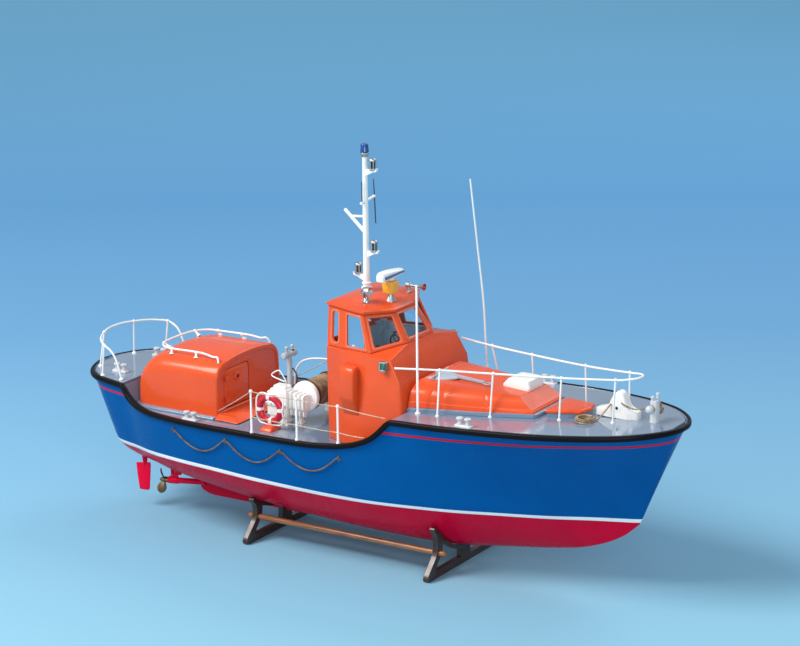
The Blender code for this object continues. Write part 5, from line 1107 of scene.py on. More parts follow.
for k in range(5):
    a = math.radians(90 + 72 * k)
    shapes.append(wire([wheel_hub, wheel_hub + 4.3 * (math.cos(a) * np.array((0, 1, 0)) + math.sin(a)
        * wheel_up)], 0.3, 8, finish=1))
piece("helm_and_seat", shapes, [fitting_paint, console_black], stands_for="helm_console", round_edge=0.3)

# Side locker: a plastic box with round front edges and a slanted foot, glued on the wheelhouse's starboard
# side before both are sprayed orange together.
locker_line = [(30, 77), (30, 102.2), (32.4, 102), (33.6, 101.2), (34.3, 99.6), (34.4, 97.5), (34.4, 87),
    (34, 85.2)]
locker_rings = []
for x, shrink in ((0.9, 0.5), (1.1, 0.2), (1.6, 0), (9.2, 0), (9.8, 0.25), (10.2, 0.8)):
    flat = np.array(locker_line)
    proud = np.minimum(1, (flat[:, 0] - 30) / 3)
    flat = flat - shrink * proud[:, None] * np.stack([np.ones(len(flat)), np.sign(flat[:, 1] - 90)], -1)
    flat[:, 0] = -(flat[:, 0] + (x - 1) * 0.146 + 0.05)
    locker_rings.append(placed(flat, "x", x))
piece("side_locker_box", [skin(locker_rings)], [house_paint], stands_for="side_locker", crease=40)

# Sidelights: a cast box open to the front and side with a coloured lamp in it, bare metal with a hood. Green
# shows to starboard, red to port.
silver = metal("cast_silver_metal", (0.5, 0.51, 0.52), 0.36)
for side, sign, lens_colour in (("port", 1, (0.4, 0.01, 0.01)), ("starboard", -1, (0.01, 0.16, 0.07))):
    lens = enamel("sidelight_lens_" + side, lens_colour, rough=0.1, coat=1, tone=0.15)
    shapes = [board(rounded_box((24.2, 102.5), (27.8, 107.2), 0.4, 4), "y", sign * 31.6, sign * 32.7),
        board(rounded_box((24.2, 106.4), (27.8, 107.2), 0.3, 3), "y", sign * 32.3, sign * 34.4),
        board(rounded_box((24.2, 102.5), (27.8, 103.3), 0.3, 3), "y", sign * 32.3, sign * 34.4),
        board(rounded_box((24.2, 102.9), (25, 106.8), 0.3, 3), "y", sign * 32.3, sign * 34.2),
        turned((26.3, sign * 33.2, 103.2), (26.3, sign * 33.2, 106.5),
            [(0, 0.9), (0.1, 1.15), (0.5, 1.25), (0.9, 1.15), (1, 0.9)], 20, finish=1)]
    piece("sidelight_box_" + side, shapes, [silver, lens], stands_for="sidelight_" + side, round_edge=0.12,
        crease=50)

# Mast: a turned post on a stepped foot, tapering to a silver cup under the beacon, with a slanted yard, a gaff
# and its strut, three brackets and two dark aerial rods, sprayed white. Each bracket carries a lantern.
mast_x = -4.2


def upright(x, y, rows, sides=28, finish=0):
    """A turned shape that stands upright at a place: its rows give heights and radii."""
    rows = np.array(rows, float)
    low, high = rows[0, 0], rows[-1, 0]
    return turned((x, y, low), (x, y, high), np.column_stack([(rows[:, 0] - low) / (high - low), rows[:, 1]]),
        sides, finish)


rod_dark = enamel("aerial_dark_grey", (0.05, 0.045, 0.045), rough=0.4, coat=0.1)
shapes = [upright(mast_x, 0, [(131.5, 2.7), (133.1, 2.7), (133.3, 2.4), (133.5, 1.95), (134.6, 1.9),
        (134.9, 2.3), (135.6, 2.3), (135.9, 1.7), (150, 1.55), (175, 1.4), (198.2, 1.25), (199, 1.25)]),
    upright(mast_x, 0, [(198.3, 1.2), (198.5, 1.45), (199.2, 2), (199.8, 2.35), (200.5, 2.35), (200.7, 2.1)],
        finish=1),
    turned((mast_x, -4.2, 175.6), (mast_x, 8.6, 177.4), [(0, 0.4), (0.02, 0.75), (0.08, 0.8), (0.1, 0.68),
        (0.92, 0.68), (0.94, 0.8), (0.98, 0.75), (1, 0.4)], 20),
    wire([(mast_x + 0.5, 8.3, 163.5), (mast_x + 0.2, 8, 176), (mast_x - 0.1, 7.7, 186)], (0.32, 0.34, 0.24),
        finish=2),
    wire([(mast_x - 0.4, -2.3, 175.6), (mast_x - 0.5, -2.35, 186.4)], (0.3, 0.2), finish=2),
    turned((mast_x, 0, 160.2), (-16.4, 0, 171.2), [(0, 0.95), (0.9, 0.85), (0.97, 0.85), (1, 0.5)], 20),
    turned((-12.6, 0, 168), (mast_x, 0, 168.6), [(0, 0.62), (1, 0.62)], 16)]
for place, low, way in ((0.4, 192.6, 1), (0.5, 151.8, 1), (-8.9, 139.6, -1)):
    tip = place + 2.4 * way
    bracket = [(mast_x, low - 4), (mast_x + 1.2 * way, low - 3.4), (place, low - 1.6), (tip, low - 1),
        (tip + 0.3 * way, low + 0.5), (tip - 0.1 * way, low + 0.6), (tip - 0.4 * way, low - 0.2),
        (mast_x, low - 0.2)]
    shapes += [board(bracket, "y", -0.95, 0.95),
        upright(place, 0, [(low - 0.5, 1.2), (low - 0.3, 1.85), (low + 0.5, 1.85), (low + 0.6, 1.5)], finish=1),
        upright(place, 0, [(low + 0.4, 0.9), (low + 0.6, 1.1), (low + 4.1, 1.1), (low + 4.3, 0.9)], 20,
            finish=2),
        upright(place, 0, [(low + 4, 1.5), (low + 4.1, 1.85), (low + 4.8, 1.85), (low + 5.2, 1.4),
            (low + 5.6, 0.6)], finish=1)]
    for k in range(6):
        a = math.radians(60 * k + 15)
        spot = np.array((place + 1.55 * math.cos(a), 1.55 * math.sin(a), 0))
        shapes.append(wire([spot + (0, 0, low + 0.3), spot + (0, 0, low + 4.3)], 0.3, 8, finish=1))
piece("mast_post", shapes, [white_enamel, silver, rod_dark], stands_for="mast", round_edge=0.1, crease=50)

# Beacon: a tapered cap of deep blue plastic with fine ribs round its foot and a flat top, moulded in one
# piece and pressed on the silver cup.
beacon_blue = enamel("beacon_blue_plastic", (0.003, 0.075, 0.27), rough=0.14, coat=0.6, tone=0.1)
ribs = [(200.9, 1.9), (201, 2.2)]
for k in range(5):
    ribs += [(201.2 + 0.45 * k, 2.2 - 0.05 * k), (201.35 + 0.45 * k, 2.12 - 0.05 * k)]
piece("beacon_dome", [upright(mast_x, 0, ribs + [(203.5, 1.93), (204.5, 1.86), (204.8, 1.74), (204.95, 1.4)])],
    [beacon_blue], stands_for="beacon", crease=60)

# Searchlight: a turned metal drum, bored out to a polished dish behind its rim, held between the arms of a
# wire fork on a small cone foot that is glued to the roof.
dish = metal("polished_dish_metal", (0.8, 0.81, 0.82), 0.14, tone=0.04)
lamp_x, lamp_y, lamp_z = 5.2, -15, 135.2
lamp_at = np.array((lamp_x, lamp_y, lamp_z))
shapes = [upright(lamp_x, lamp_y, [(130, 2.1), (130.9, 1.9), (131.8, 1.2), (132.6, 0.8), (133.4, 0.8)]),
    turned(lamp_at - (2.3, 0, 0), lamp_at + (2.4, 0, 0), [(0, 0.7), (0.05, 1.5), (0.2, 2.1), (0.45, 2.45),
        (0.8, 2.6), (0.97, 2.6), (1, 2.45), (0.985, 2.34), (0.87, 1.88), (0.72, 1.3), (0.61, 0.45)], 36),
    turned(lamp_at + (0.6, 0, 0), lamp_at + (2.3, 0, 0), [(0, 0.4), (0.3, 1.2), (0.7, 1.8), (1, 2.3),
        (0.97, 2.2), (0.65, 1.6), (0.3, 1), (0.12, 0.3)], 36, finish=1)]
fork = curve_through(placed([(-18, lamp_z), (-17.8, 133.6), (-16.6, 132.7), (lamp_y, 132.4), (-13.4, 132.7),
    (-12.2, 133.6), (-12, lamp_z)], "x", lamp_x), 4)
shapes.append(wire(fork, 0.38, 10))
for sign in (1, -1):
    shapes.append(turned(lamp_at + (0, sign * 2.2, 0), lamp_at + (0, sign * 3.4, 0), [(0, 0.6), (1, 0.55)], 14))
piece("searchlight_drum", shapes, [silver, dish], stands_for="searchlight", crease=40)

# Radar: a silver cone carries a yellow gearbox, and on that turns a white scanner, one wedge-shaped moulding
# whose front has a blue-grey strip let in.
gearbox_yellow = enamel("gearbox_yellow_enamel", (0.93, 0.43, 0.035), rough=0.3, coat=0.2,
    tone=0.05)
radar_x, radar_y = 12, -3.6
shapes = [upright(radar_x, radar_y, [(128.9, 2.9), (129.4, 2.7), (130.6, 1.9), (133.2, 1.2)], finish=1)]
gear_rows = ((132.9, 2.7), (133.1, 3.15), (133.5, 3.35), (138.3, 3.45), (138.75, 3.35), (138.95, 3))
shapes.append(layers([(rounded_box((radar_x - r, radar_y - r), (radar_x + r, radar_y + r), 1.9, 7), z)
    for z, r in gear_rows]))
piece("radar_gearbox_drum", shapes, [gearbox_yellow, silver], stands_for="radar_gearbox", crease=50)
strip_blue = enamel("radar_strip_blue_grey", (0.1, 0.17, 0.33), rough=0.3, coat=0.2)
scan_low = 140.3
scan_rings = []
for y, tall, thick in ((-10, 0.55, 0.5), (-9.8, 0.8, 0.75), (-9.2, 0.95, 0.92), (-8.2, 1, 1), (-4, 0.96, 1),
        (0, 0.85, 1), (4, 0.72, 1), (8, 0.56, 0.96), (9.4, 0.5, 0.9), (9.9, 0.42, 0.7)):
    shape = np.array([(-2.3, 0.1), (2.2, 0), (2.5, 0.3), (2.5, 3), (2.2, 3.6), (1.2, 4.4), (-0.2, 4.75),
        (-1.5, 4.4), (-2.3, 3.3), (-2.5, 2.2), (-2.5, 0.5)])
    flat = (radar_x, scan_low + 0.45 * (10 + y) / 10) + shape * (thick, tall)
    scan_rings.append(placed(flat, "y", radar_y + y))
strip = [(-8.6, scan_low + 0.9), (8.8, scan_low + 1.5), (8.8, scan_low + 2.6), (-8.6, scan_low + 2.6)]
strip_front = np.array([(radar_x + 2.3, radar_y + y, z) for y, z in strip])
piece("radar_scanner_head", [skin(scan_rings),
    skin([strip_front, strip_front + (0.4, 0, 0)], finish=1),
    upright(radar_x, radar_y, [(139.3, 1.5), (139.5, 1.8), (140.4, 1.8), (140.9, 1.5)])],
    [white_enamel, strip_blue], body="radar_scanner", stands_for="radar_scanner", round_edge=0.2, crease=40)

# Horn: a turned metal trumpet with a driver pot aft, on two short posts glued to the roof. Its bell is hollow
# and painted red inside.
horn_red = enamel("horn_bell_red", (0.52, 0.008, 0.018), rough=0.3, coat=0.3)
horn_y, horn_z = 15.6, 132.4
horn_from, horn_to = np.array((9, horn_y, horn_z)), np.array((19.6, horn_y, horn_z))
piece("horn_trumpet", [turned(horn_from, horn_to, [(0, 0.8), (0.02, 1.3), (0.2, 1.35), (0.22, 1.1),
        (0.25, 0.75), (0.55, 0.7), (0.72, 0.85), (0.86, 1.2), (0.95, 1.6), (1, 1.85), (0.995, 1.76),
        (0.95, 1.42), (0.9, 1.06), (0.83, 0.6)], 32),
    turned(horn_from + (8.6, 0, 0), horn_to - (0.08, 0, 0), [(0, 0.4), (0.45, 0.96), (0.8, 1.33), (1, 1.74),
        (0.97, 1.62), (0.75, 1.15), (0.4, 0.75), (0.1, 0.3)], 32, finish=1),
    turned((10.4, horn_y, 129.2), (10.4, horn_y, horn_z), [(0, 1.6), (0.15, 1.5), (0.2, 1.05), (1, 1.05)], 20),
    turned((9.9, horn_y, horn_z), (9.9, horn_y, 134), [(0, 1), (0.7, 1), (1, 0.7)], 16),
    turned((15.2, horn_y, 128.8), (15.2, horn_y, horn_z), [(0, 1.2), (0.15, 1.1), (0.2, 0.55), (1, 0.55)], 16)],
    [silver, horn_red], stands_for="horn", crease=40)

# Trunk cabin: a turtle-backed moulding with round shoulders that narrows forward to a slanted end, sprayed
# orange, on a kerb of deck grey. Three shallow seams cross its side and a ledge runs along its foot.
trunk_base = [(36.9, 28.6), (70, 22), (98.6, 15.4)]
trunk_top = [(37.4, 17.4, 96.4), (68, 14.6, 95.2), (90, 12, 93.9)]


def trunk_ring(along, grow):
    """The trunk cabin's section at a share along it, 0 aft, 1 at its middle corner and 2 at its fore end, whose
    rows are read straight between, with the corner rounded off, and grown outwards by an amount."""
    bend = max(0, 0.2 - abs(along - 1))**2 / 0.8
    read = []
    for rows in (np.array(trunk_base), np.array(trunk_top)):
        k = 0 if along < 1 else 1
        read.append(rows[k] + (rows[k + 1] - rows[k]) * (along - k) + (rows[0] - 2 * rows[1] + rows[2]) * bend)
    (bx, by), (tx, ty, tz) = read
    floor = deck_height(bx) + 0.25
    lean, wall = tx - bx, floor + (tz - floor) * 0.34
    side = [(bx, by - 0.1 + grow, floor + 1.5), (bx + lean * 0.05, by - 0.2 + grow, floor + 2.4),
        (bx + lean * 0.13, by - 0.35 + grow, wall - 0.2), (bx + lean * 0.15, by - 0.8 + grow, wall + 0.15)]
    for turn in np.radians(np.linspace(6, 90, 12)):
        side.append((bx + lean * (0.15 + 0.85 * math.sin(turn)), ty + (by - 0.9 - ty + grow) * math.cos(turn),
            wall + (tz - wall) * math.sin(turn)))
    side += [(tx, ty * 0.6, tz + 0.12), (tx, ty * 0.2, tz + 0.2)]
    return both_halves(side)


seams = (0.33, 0.52, 1.22)
trunk_steps = [0, 0.1, 0.2]
for seam in seams:
    trunk_steps += [seam - 0.016, seam - 0.006, seam + 0.006, seam + 0.016]
trunk_steps += list(np.linspace(0.62, 1.18, 12)) + list(np.linspace(1.3, 2, 8))
trunk_rings = []
for along in sorted(trunk_steps):
    depth = -0.16 if min(abs(along - seam) for seam in seams) < 0.01 else 0
    trunk_rings.append(trunk_ring(along, depth))
kerb_loop = both_halves([(36.8, 29.4), (70.4, 22.9), (98.8, 16.2), (99.8, 15), (100, 13)])
trunk_kerb = []
for shrink, rise in ((0, 0), (0, 1.5), (0.5, 1.75), (3, 1.75)):
    flat = kerb_loop - shrink * np.sign(kerb_loop - (60, 0))
    trunk_kerb.append(placed(flat, "z", fair(sheer, flat[:, 0]) + 0.05 + rise))
trunk_points, trunk_faces, _ = skin(trunk_rings, caps=False)
ring_size = len(trunk_rings[0])
for first in (0, (len(trunk_rings) - 1) * ring_size):
    trunk_faces += [[first + k, first + k + 1, first + ring_size - 2 - k, first + ring_size - 1 - k]
        for k in range(ring_size // 2 - 1)]
piece("trunk_cabin_shell", [(trunk_points, trunk_faces, 0)], [house_paint], stands_for="trunk_cabin",
    round_edge=0.3, crease=35)
piece("trunk_cabin_kerb", [skin(trunk_kerb)], [deck_paint], crease=35)

# Vent box: a low plastic wedge with slanted ends and rounded edges, sprayed white and glued on the trunk
# cabin's roof, a little to port.
vent_rings = []
for x0, x1, y0, y1, z0, z1 in ((75, 89.6, -3.6, 11, 94, 93.2), (74.8, 89.8, -3.8, 11.2, 95.8, 95.4),
        (77, 88.8, -3, 10.6, 98.5, 98.5), (77.8, 88, -2.4, 10, 98.9, 98.8)):
    flat = rounded_box((x0, y0), (x1, y1), 1.4, 5)
    vent_rings.append(placed(flat, "z", z0 + (z1 - z0) * (flat[:, 0] - x0) / (x1 - x0)))
piece("vent_box_lid", [skin(vent_rings)], [white_enamel], stands_for="vent_box", round_edge=0.3, crease=25)

# Anchor: a flat casting with a curved arm and palms, a tapered shank and a ring, painted blue-grey and glued
# flat on the roof.
anchor_grey = enamel("anchor_blue_grey", (0.42, 0.5, 0.58), rough=0.35, coat=0.2, tone=0.12)
arm = curve_through([(38, -14.2), (40.6, -14.9), (45.4, -13.6), (50, -11.4), (54.2, -8), (50, -4.6),
    (45.4, -2.4), (40.6, -1.1), (38, -1.8), (42.2, -5.6), (43.4, -8), (42.2, -10.4)], 4, closed=True)
roof_drop = 2.7
arm_rings = [placed(arm + (np.array((46, -8)) - arm) * shrink, "z", z - roof_drop + 0.22
    * np.minimum(0, arm[:, 1] + 9)) for shrink, z in ((0.03, 99.2), (0, 99.5), (0, 100), (0.05, 100.4),
    (0.2, 100.65))]
shapes = [skin(arm_rings),
    skin([[(x, -8 + w, z), (x, -8 + w, z + t), (x, -8 - w, z + t), (x, -8 - w, z)]
        for x, w, z, t in ((40.6, 1, 97.6, 0.9), (54, 0.85, 97, 1.1), (67.6, 0.6, 96.1, 1.1))]),
    turned((42.6, -15.8, 97.2), (42.6, -0.2, 98.5), [(0, 0.3), (0.02, 0.6), (0.06, 0.6), (0.08, 0.45),
        (0.92, 0.45), (0.94, 0.6), (0.98, 0.6), (1, 0.3)], 16)]
ring_angle = np.radians(np.arange(0, 360, 12))
shapes.append(wire(np.stack([69.3 + 1.5 * np.cos(ring_angle), -8 + 1.5 * np.sin(ring_angle),
    96.2 + 0 * ring_angle], -1), 0.36, 10, closed=True))
piece("anchor_casting", shapes, [anchor_grey], stands_for="anchor", round_edge=0.12, crease=45)

# Fore hatch: a five-sided lid of thick sheet with a rounded edge, sprayed orange, that overhangs a kerb of
# deck grey on the fore deck.
hatch_corners = [(102.6, 11.6), (119.6, 7.2), (121.4, 0), (119.6, -7.2), (102.6, -11.6)]
hatch_line = rounded_path(hatch_corners + hatch_corners[:2], (0.8,) * 5, 5)[1:-1]
hatch_middle = np.array((111, 0))


def hatch_rings(rows):
    """Rings of the hatch's outline, each drawn in by an amount and raised over the deck."""
    rings = []
    for shrink, rise in rows:
        flat = hatch_middle + (hatch_line - hatch_middle) * (1 - shrink / 9.6)
        rings.append(placed(flat, "z", fair(sheer, flat[:, 0]) + rise))
    return skin(rings)


piece("fore_hatch_kerb", [hatch_rings(((0.7, 0), (0.7, 2)))], [deck_paint], crease=35)
piece("fore_hatch_lid", [hatch_rings(((1, 1.9), (0.2, 1.9), (0, 2.2), (0, 3), (0.3, 3.4), (0.9, 3.75),
    (2.4, 3.85)))], [house_paint], stands_for="fore_hatch", crease=40)

# Windlass: one white moulding, a domed gear case between two low wings, with a bored hole at the end of its
# shaft on each side, shown as a flat black disc of painted shade.
windlass_x = 136
windlass_foot = deck_height(windlass_x) + 0.1
windlass_y = 2.6
case_rows = [(-12.6, 2.6, 2.4), (-12.4, 3.4, 3.2), (-11.4, 4.2, 3.6), (-8.6, 5, 4.3), (-6.6, 5.5, 4.9),
    (-5.4, 5.8, 6.3), (-4.4, 6, 8.8), (-3.2, 6.1, 11), (-1.8, 6.2, 12.4), (-0.4, 6.2, 12.9), (1, 6.2, 12.4),
    (2.2, 6.1, 11), (3.2, 6, 8.8), (4.2, 5.8, 6.4), (5.2, 5.5, 5), (6.6, 5, 4.4), (8.6, 4.2, 3.9),
    (9.4, 3.4, 3.4), (9.6, 2.6, 2.4)]
case_rings = []
arc = np.radians(np.linspace(0, 90, 10))
for place, half_w, tall in case_rows:
    tip = 0.45 if tall > 6 else 0.75
    y = half_w * (tip + (1 - tip) * np.cos(arc))
    z = windlass_foot + tall * 0.35 + tall * 0.65 * np.sin(arc)
    side = np.vstack([[(half_w, windlass_foot)], np.stack([y, z], -1),
        [(half_w * tip * 0.5, windlass_foot + tall)]])
    case_rings.append(both_halves(placed(side, "x", windlass_x + place)) * (1, 0.62, 1) + (0, windlass_y, 0))
shapes = [skin(case_rings)]
for sign in (1, -1):
    shapes += [turned((windlass_x - 0.6, windlass_y + 3 * sign, windlass_foot + 5),
            (windlass_x - 0.6, windlass_y + 4 * sign, windlass_foot + 5),
            [(0, 2.5), (0.5, 2.5), (0.75, 2.35), (0.92, 1.9), (1, 1.4)], 32),
        turned((windlass_x - 0.6, windlass_y + 3.6 * sign, windlass_foot + 5),
            (windlass_x - 0.6, windlass_y + 4.08 * sign, windlass_foot + 5), [(0, 0.75), (1, 0.75)], 20,
            finish=1)]
piece("windlass_case", shapes, [white_enamel, shade_hole_black], stands_for="windlass", crease=50)

# Samson post: a light grey post with a short arm that ends in a ball, and two pegs on top, one of them wound
# with brown line.
samson_x = 154.6
samson_foot = deck_height(samson_x) - 0.05
samson_grey = enamel("samson_light_grey", (0.58, 0.62, 0.66), rough=0.32, coat=0.25)
peg_tops = ((-0.6, -1.2, 13), (0.8, 1.3, 14.3))
shapes = [upright(samson_x, 0, [(samson_foot, 2.4), (samson_foot + 0.3, 2.5), (samson_foot + 0.8, 2.25),
        (samson_foot + 10.2, 2.2), (samson_foot + 10.9, 1.9), (samson_foot + 11.1, 1.2)]),
    turned((samson_x, -4.8, samson_foot + 7.5), (samson_x, 5, samson_foot + 7.5),
        [(0, 1), (0.9, 1), (0.97, 0.9), (1, 0.5)], 20),
    ball((samson_x, -5.3, samson_foot + 7.5), 2.05, 24)]
for dx, y, top_z in peg_tops:
    shapes.append(upright(samson_x + dx, y, [(samson_foot + 10, 0.8), (samson_foot + top_z - 1.2, 0.75),
        (samson_foot + top_z - 1, 0.95), (samson_foot + top_z - 0.3, 0.9), (samson_foot + top_z, 0.5)], 20))
piece("samson_post_casting", shapes, [samson_grey], stands_for="samson_post", crease=45)

# Line on the fore deck: twisted brown line, 0.8 mm thick. A coil of three layers lies by the windlass and its
# end is led up into the windlass's side; a second short length runs from there to turns on the post's peg.
line_brown = thread("deck_line_brown", (0.14, 0.075, 0.035), (0.52, 0.38, 0.23), 2200)
line_thick = 0.8


def even_steps(path, step):
    """The path resampled at equal steps along its length."""
    path = np.array(path, float)
    run = np.concatenate([[0], np.cumsum(np.linalg.norm(np.diff(path, axis=0), axis=1))])
    at = np.linspace(0, run[-1], int(round(run[-1] / step)) + 1)
    return np.stack([np.interp(at, run, path[:, k]) for k in range(3)], -1), at


def rope(path, thick, finish=0):
    """A rope of three strands along a path: at each step the ring's radius has three humps, which turn with
    the way along it, once in three and a half diameters."""
    fine, at = even_steps(path, thick * 0.3)
    shape = wire(fine, 1, 15, finish=finish)
    rings = shape[0].reshape(len(fine), 15, 3)
    angle = np.linspace(0, 2 * np.pi, 15, endpoint=False)
    twist = 2 * np.pi * at[:, None] / (3.5 * thick)
    hump = thick / 2 * (0.84 + 0.16 * np.abs(np.cos(1.5 * (angle - twist))))
    return ((fine[:, None] + (rings - fine[:, None]) * hump[..., None]).reshape(-1, 3), shape[1], finish)


coil_x, coil_y = 123.6, -10.8
coil_floor = deck_height(coil_x) + line_thick / 2 + 0.02
coil_rows = [(5, 0), (4.2, 0), (3.4, 0.02), (3.75, 0.72), (4.55, 0.72), (4.2, 1.4), (3.4, 1.4)]
coil_path = [(132.4, -1.2, windlass_foot + 6.6), (131.6, -2.7, windlass_foot + 5.2),
    (130.8, -4.3, windlass_foot + 3.6), (129.9, -6, windlass_foot + 2), (128.9, -7.6, coil_floor + 0.55)]
for k, ((r0, h0), (r1, h1)) in enumerate(zip(coil_rows[:-1], coil_rows[1:])):
    for t in np.arange(20) / 20:
        a = math.radians(28) - 2 * math.pi * (k + t)
        ease = t * t * (3 - 2 * t)
        r = r0 + (r1 - r0) * ease + 0.14 * math.sin(3 * a) + 0.05 * math.sin(2 * a + 1.9 * k)
        coil_path.append((coil_x + r * math.cos(a), coil_y + r * math.sin(a),
            coil_floor + h0 + (h1 - h0) * ease + 0.04 * math.sin(2 * a + k)))
coil_path, coil_run = even_steps(curve_through(coil_path, 4), 0.9)
coil = piece("deck_line_coil", [rope(coil_path, line_thick)], [line_brown], stands_for="rope_coil", crease=80)

led = curve_through([(windlass_x + 1.8, -1.2, windlass_foot + 7.8), (windlass_x + 4.6, -1.9,
    windlass_foot + 6.9), (windlass_x + 10, -2.9, windlass_foot + 6.4),
    (samson_x - 2.6, -3.6, samson_foot + 7.4), (samson_x - 0.4, -3.2, samson_foot + 8.9),
    (samson_x + 1.4, -3.1, samson_foot + 7.6), (samson_x + 0.6, -3, samson_foot + 6.2),
    (samson_x - 1.2, -2.9, samson_foot + 6.6)], 6)
shapes = [rope(led, line_thick)]
hang = np.radians(np.arange(0, 1080 + 1, 20))
hank = np.stack([samson_x + 1.55 * np.cos(hang) + 0.25 * np.sin(hang * 0.37), 2.9 + 0.8 * hang / (2 * np.pi),
    samson_foot + 6.35 + 2.6 * np.sin(hang) - 0.35 * (1 - np.sin(hang)) * hang / 19], -1)
shapes.append(rope(hank, line_thick))
piece("deck_line_turns", shapes, [line_brown], crease=80)

# Bow rail: wire bent round the fore deck in one piece, on eight slanted posts with a ball at the joint, sprayed
# white. Its after ends are free.
bow_path = [(31.5, 31.6, 104.4), (52.7, 24.9, 104.8), (78.6, 18.9, 105.3), (111.6, 11.9, 106.2),
    (137.7, 7.2, 107.8), (142.6, 5.9, 108.4), (145.8, 4.2, 108.8), (147.4, 2, 109), (147.8, 0, 109)]
shapes = [wire(curve_through(both_halves(bow_path, 1), 6), rail_radius)]
for (x, y), top in zip(((54.5, 30.4), (78.4, 21.4), (111.4, 13.6), (136.9, 8.4)), bow_path[1:5]):
    for sign in (1, -1):
        foot, joint = np.array((x, y * sign, deck_height(x) - 0.1)), np.array((top[0], top[1] * sign, top[2]))
        shapes += [wire([foot, joint + (joint - foot) / np.linalg.norm(joint - foot) * 0.9], 0.47),
            ball(joint + (0, 0, 0.1), 0.85),
            turned(foot - (0, 0, 0.1), foot + (0, 0, 0.8), [(0, 1), (0.4, 0.95), (1, 0.55)], 16)]
piece("bow_rail_wire", shapes, [white_enamel], stands_for="bow_rail", crease=60)

# Aerials: a short white pole on the starboard side, and a long slim whip to port whose thicker foot stands
# upright on the deck.
pole_foot = deck_height(44) - 0.05
piece("pole_aerial_rod", [upright(44, -31, [(pole_foot, 1.4), (pole_foot + 0.5, 1.35), (pole_foot + 0.9, 0.75),
    (pole_foot + 1.4, 0.62), (146.6, 0.52), (147, 0.3)], 20)], [white_enamel], stands_for="pole_aerial",
    crease=60)
whip_foot = deck_height(40) - 0.05
whip = curve_through([(40, 42, whip_foot), (39.4, 41.4, 100), (38.6, 40.6, 122), (36.4, 38.4, 152),
    (34, 36, 184.5)], 6)
piece("whip_aerial_rod", [wire(whip, np.linspace(0.62, 0.42, len(whip))),
    turned((40, 42, whip_foot), (39.8, 41.8, whip_foot + 6.2), [(0, 1.7), (0.06, 1.6), (0.1, 1.2), (0.8, 1),
        (1, 0.6)], 20)],
    [white_enamel], stands_for="whip_aerial", crease=60)

# Bollards: six small castings, each a foot with two mushroom-headed posts, painted light grey and glued to
# the deck, one on each side by the aft cabin, on the fore deck and at the stern.
for bollard, x, across, deck in (("bollard_aft", -88, 36.4, well_top), ("bollard_fore", 75.5, 41, None),
        ("bollard_stern", -147, 17, None)):
    z = deck if deck else deck_height(x) - 0.1
    for side, sign in both_sides:
        y = across * sign
        feet = ((4.6, 1.9, 0.9, 0), (4.6, 1.9, 0.9, 0.75), (4.3, 1.6, 0.8, 1.1))
        shapes = [layers([(rounded_box((x - w, y - d), (x + w, y + d), r, 5), z + h) for w, d, r, h in feet])]
        for place in (x - 2.2, x + 2.2):
            shapes.append(upright(place, y, [(z + 0.9, 1.35), (z + 1.4, 1.05), (z + 3.4, 1), (z + 3.6, 1.5),
                (z + 3.8, 1.75), (z + 4.4, 1.7), (z + 4.75, 1.2)], 22))
        piece(bollard + "_casting_" + side, shapes, [samson_grey], stands_for=bollard + "_" + side, crease=45)

# Grab lines: brown thread along each side under the well, hung in three bights from four small eyelets in the
# topside. The thread is 0.8 mm thick; each bight hangs 8.4 mm low.
eyes, eye_heights, eye_sag, eye_round = (-93.6, -59.4, -26, 8.2), (57.5, 57.7, 57.6, 59.7), 8.4, 1.8
grab_brown = thread("grab_line_brown", (0.075, 0.035, 0.018), (0.27, 0.15, 0.085), 2200)
for side, sign in both_sides:
    line_points = []
    for first, last in zip(eyes[:-1], eyes[1:]):
        for x in np.linspace(first, last, 30, endpoint=last == eyes[-1]):
            near = min(x - first, last - x)
            part = 0.5 * (math.hypot(near, eye_round) - eye_round) / (math.hypot((last - first) / 2, eye_round)
                - eye_round)
            z = np.interp(x, eyes, eye_heights) - eye_sag * 4 * part * (1 - part)
            line_points.append((x, sign * (float(side_at(x, z)) + 0.85), z))
    line_path, line_run = even_steps(line_points, 1)
    made = piece("grab_line_thread_" + side, [rope(line_path, line_thick)], [grab_brown],
        stands_for="grab_line_" + side, crease=80)
    shapes = []
    for x, eye_height in zip(eyes, eye_heights):
        face = float(side_at(x, eye_height)) * sign
        shapes.append(turned((x, face - sign * 0.3, eye_height - 0.9), (x, face + sign * 0.5, eye_height - 0.9),
            [(0, 0.9), (0.7, 0.85), (1, 0.6)], 16))
        loop_z = eye_height + 0.1 + 0.85 * np.sin(ring_angle)
        shapes.append(wire(np.stack([0 * loop_z + x, face + sign * (0.55 + 0.75 * np.cos(ring_angle)), loop_z],
            -1), 0.3, 8, closed=True))
    piece("grab_line_eyelets_" + side, shapes, [grab_brown], crease=50)

# Stand: two boards of thin hardwood, sawn out as open trestles with saddles cut to the hull, stained dark
# and varnished. Two varnished dowels with rounded ends join them.


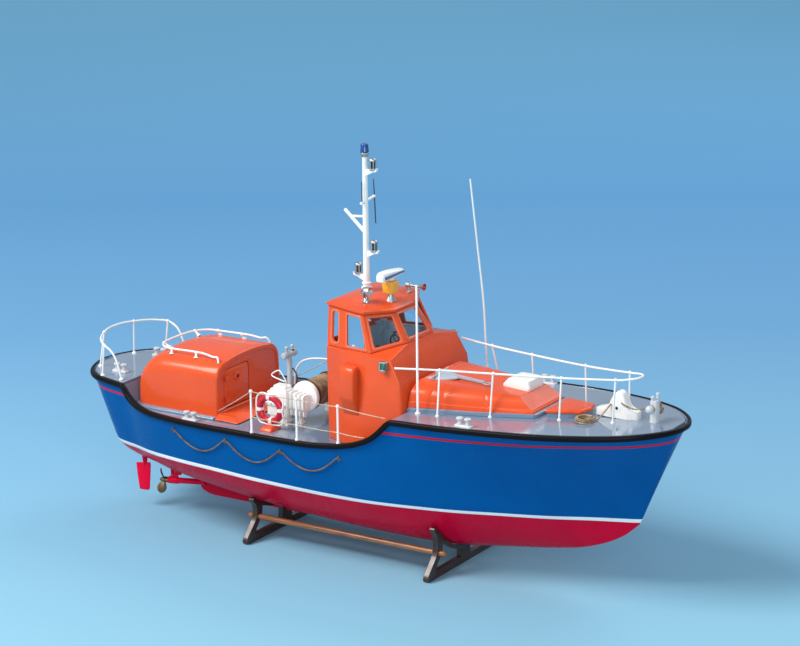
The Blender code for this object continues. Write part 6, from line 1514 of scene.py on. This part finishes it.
def timber(name, dark, light, grain_axis, rough, coat):
    """Varnished wood: fine lines stretched along the grain, made by noise that changes slowly along one
    axis and quickly across it, over a broader change of tone."""
    made, add, shader, links, place = tree(name)
    stretch = tuple(0.06 if axis == grain_axis else 1 for axis in "xyz")
    long_place = add("Mapping", Vector=place, Scale=stretch).outputs[0]
    lines = add("TexNoise", Vector=long_place, Scale=1400, Detail=4).outputs["Fac"]
    broad = add("TexNoise", Vector=long_place, Scale=260, Detail=2).outputs["Fac"]
    mixed = add("Math", operation="MULTIPLY_ADD", _0=broad, _1=0.8, _2=lines).outputs[0]
    share = add("MapRange", Value=mixed, From_Min=0.7, From_Max=1.15).outputs[0]
    links.new(add("MixRGB", _0=share, _1=(*dark, 1), _2=(*light, 1)).outputs[0], shader.inputs["Base Color"])
    gloss = add("MapRange", Value=mixed, From_Min=0.7, From_Max=1.15, To_Min=rough,
        To_Max=rough + 0.12).outputs[0]
    links.new(gloss, shader.inputs["Roughness"])
    links.new(add("Bump", Strength=0.35, Distance=0.00008, Height=lines).outputs[0], shader.inputs["Normal"])
    shader.inputs["Coat Weight"].default_value = coat
    shader.inputs["Coat Roughness"].default_value = 0.12
    return made


stand_dark = timber("stand_stained_wood", (0.016, 0.007, 0.004), (0.06, 0.024, 0.011), "y", 0.32, 0.35)
dowel_wood = timber("dowel_varnished_wood", (0.17, 0.052, 0.014), (0.4, 0.155, 0.048), "x", 0.25, 0.5)
board_half, bar_top = 1.5, 3.9
for name, x, slot_half in (("stand_trestle_aft", -56.5, 1.95), ("stand_trestle_fore", 50.5, 0)):
    across = np.linspace(27.2, slot_half, 12)
    seat = np.minimum(bottom_at(x - board_half, across), bottom_at(x + board_half, across)) - 0.3
    head = float(seat[0])
    leg = [(33.2, 0), (35.6, 0.3), (36.3, 1.4), (35.9, 2.9), (34.4, 4.6), (31.6, 7.4), (28.8, 10.2), (27.2, 13),
        (26.6, 15.6), (26.8, head - 5.2), (27.8, head - 2.8), (29.4, head - 1.4), (30, head - 0.2),
        (29.2, head + 0.8), (27.9, head + 0.7), (27.2, head), (across[2], seat[2]), (21.6, head - 4.6),
        (21.8, 15.4), (22.6, 12.6), (24.4, 9.8), (27.2, 6.7), (28.6, bar_top), (28.6, 0)]
    saddle = np.vstack([np.stack([across, seat], -1), np.stack([across, seat - 2.2], -1)[::-1]])
    core = [(0, 0), (4.6, 0), (4.4, bar_top + 1), (4, float(np.interp(4, across[::-1], seat[::-1])) - 0.3)]
    core += [(slot_half, seat[-1] - 0.3), (slot_half, 8.4), (0, 8.4)] if slot_half else [(0, seat[-1] - 0.3)]
    shapes = [board([(-30, 0), (30, 0), (30, bar_top), (-30, bar_top)], "x", x - 1.4, x + 1.4)]
    for flat, half in ((leg, board_half), (saddle, 1.35), (core, 1.45)):
        for sign in (1, -1):
            shapes.append(board(np.array(flat) * (sign, 1), "x", x - half, x + half))
    piece(name + "_board", shapes, [stand_dark], stands_for=name, round_edge=0.3)
for side, sign in both_sides:
    piece("stand_dowel_rod_" + side, [turned((-61.5, 25 * sign, 12.2), (55.5, 25 * sign, 12.2),
        [(0, 0.5), (0.002, 0.95), (0.006, 1.3), (0.011, 1.45), (0.989, 1.45), (0.994, 1.3), (0.998, 0.95),
        (1, 0.5)], 28)], [dowel_wood], stands_for="stand_dowel_" + side, crease=50)
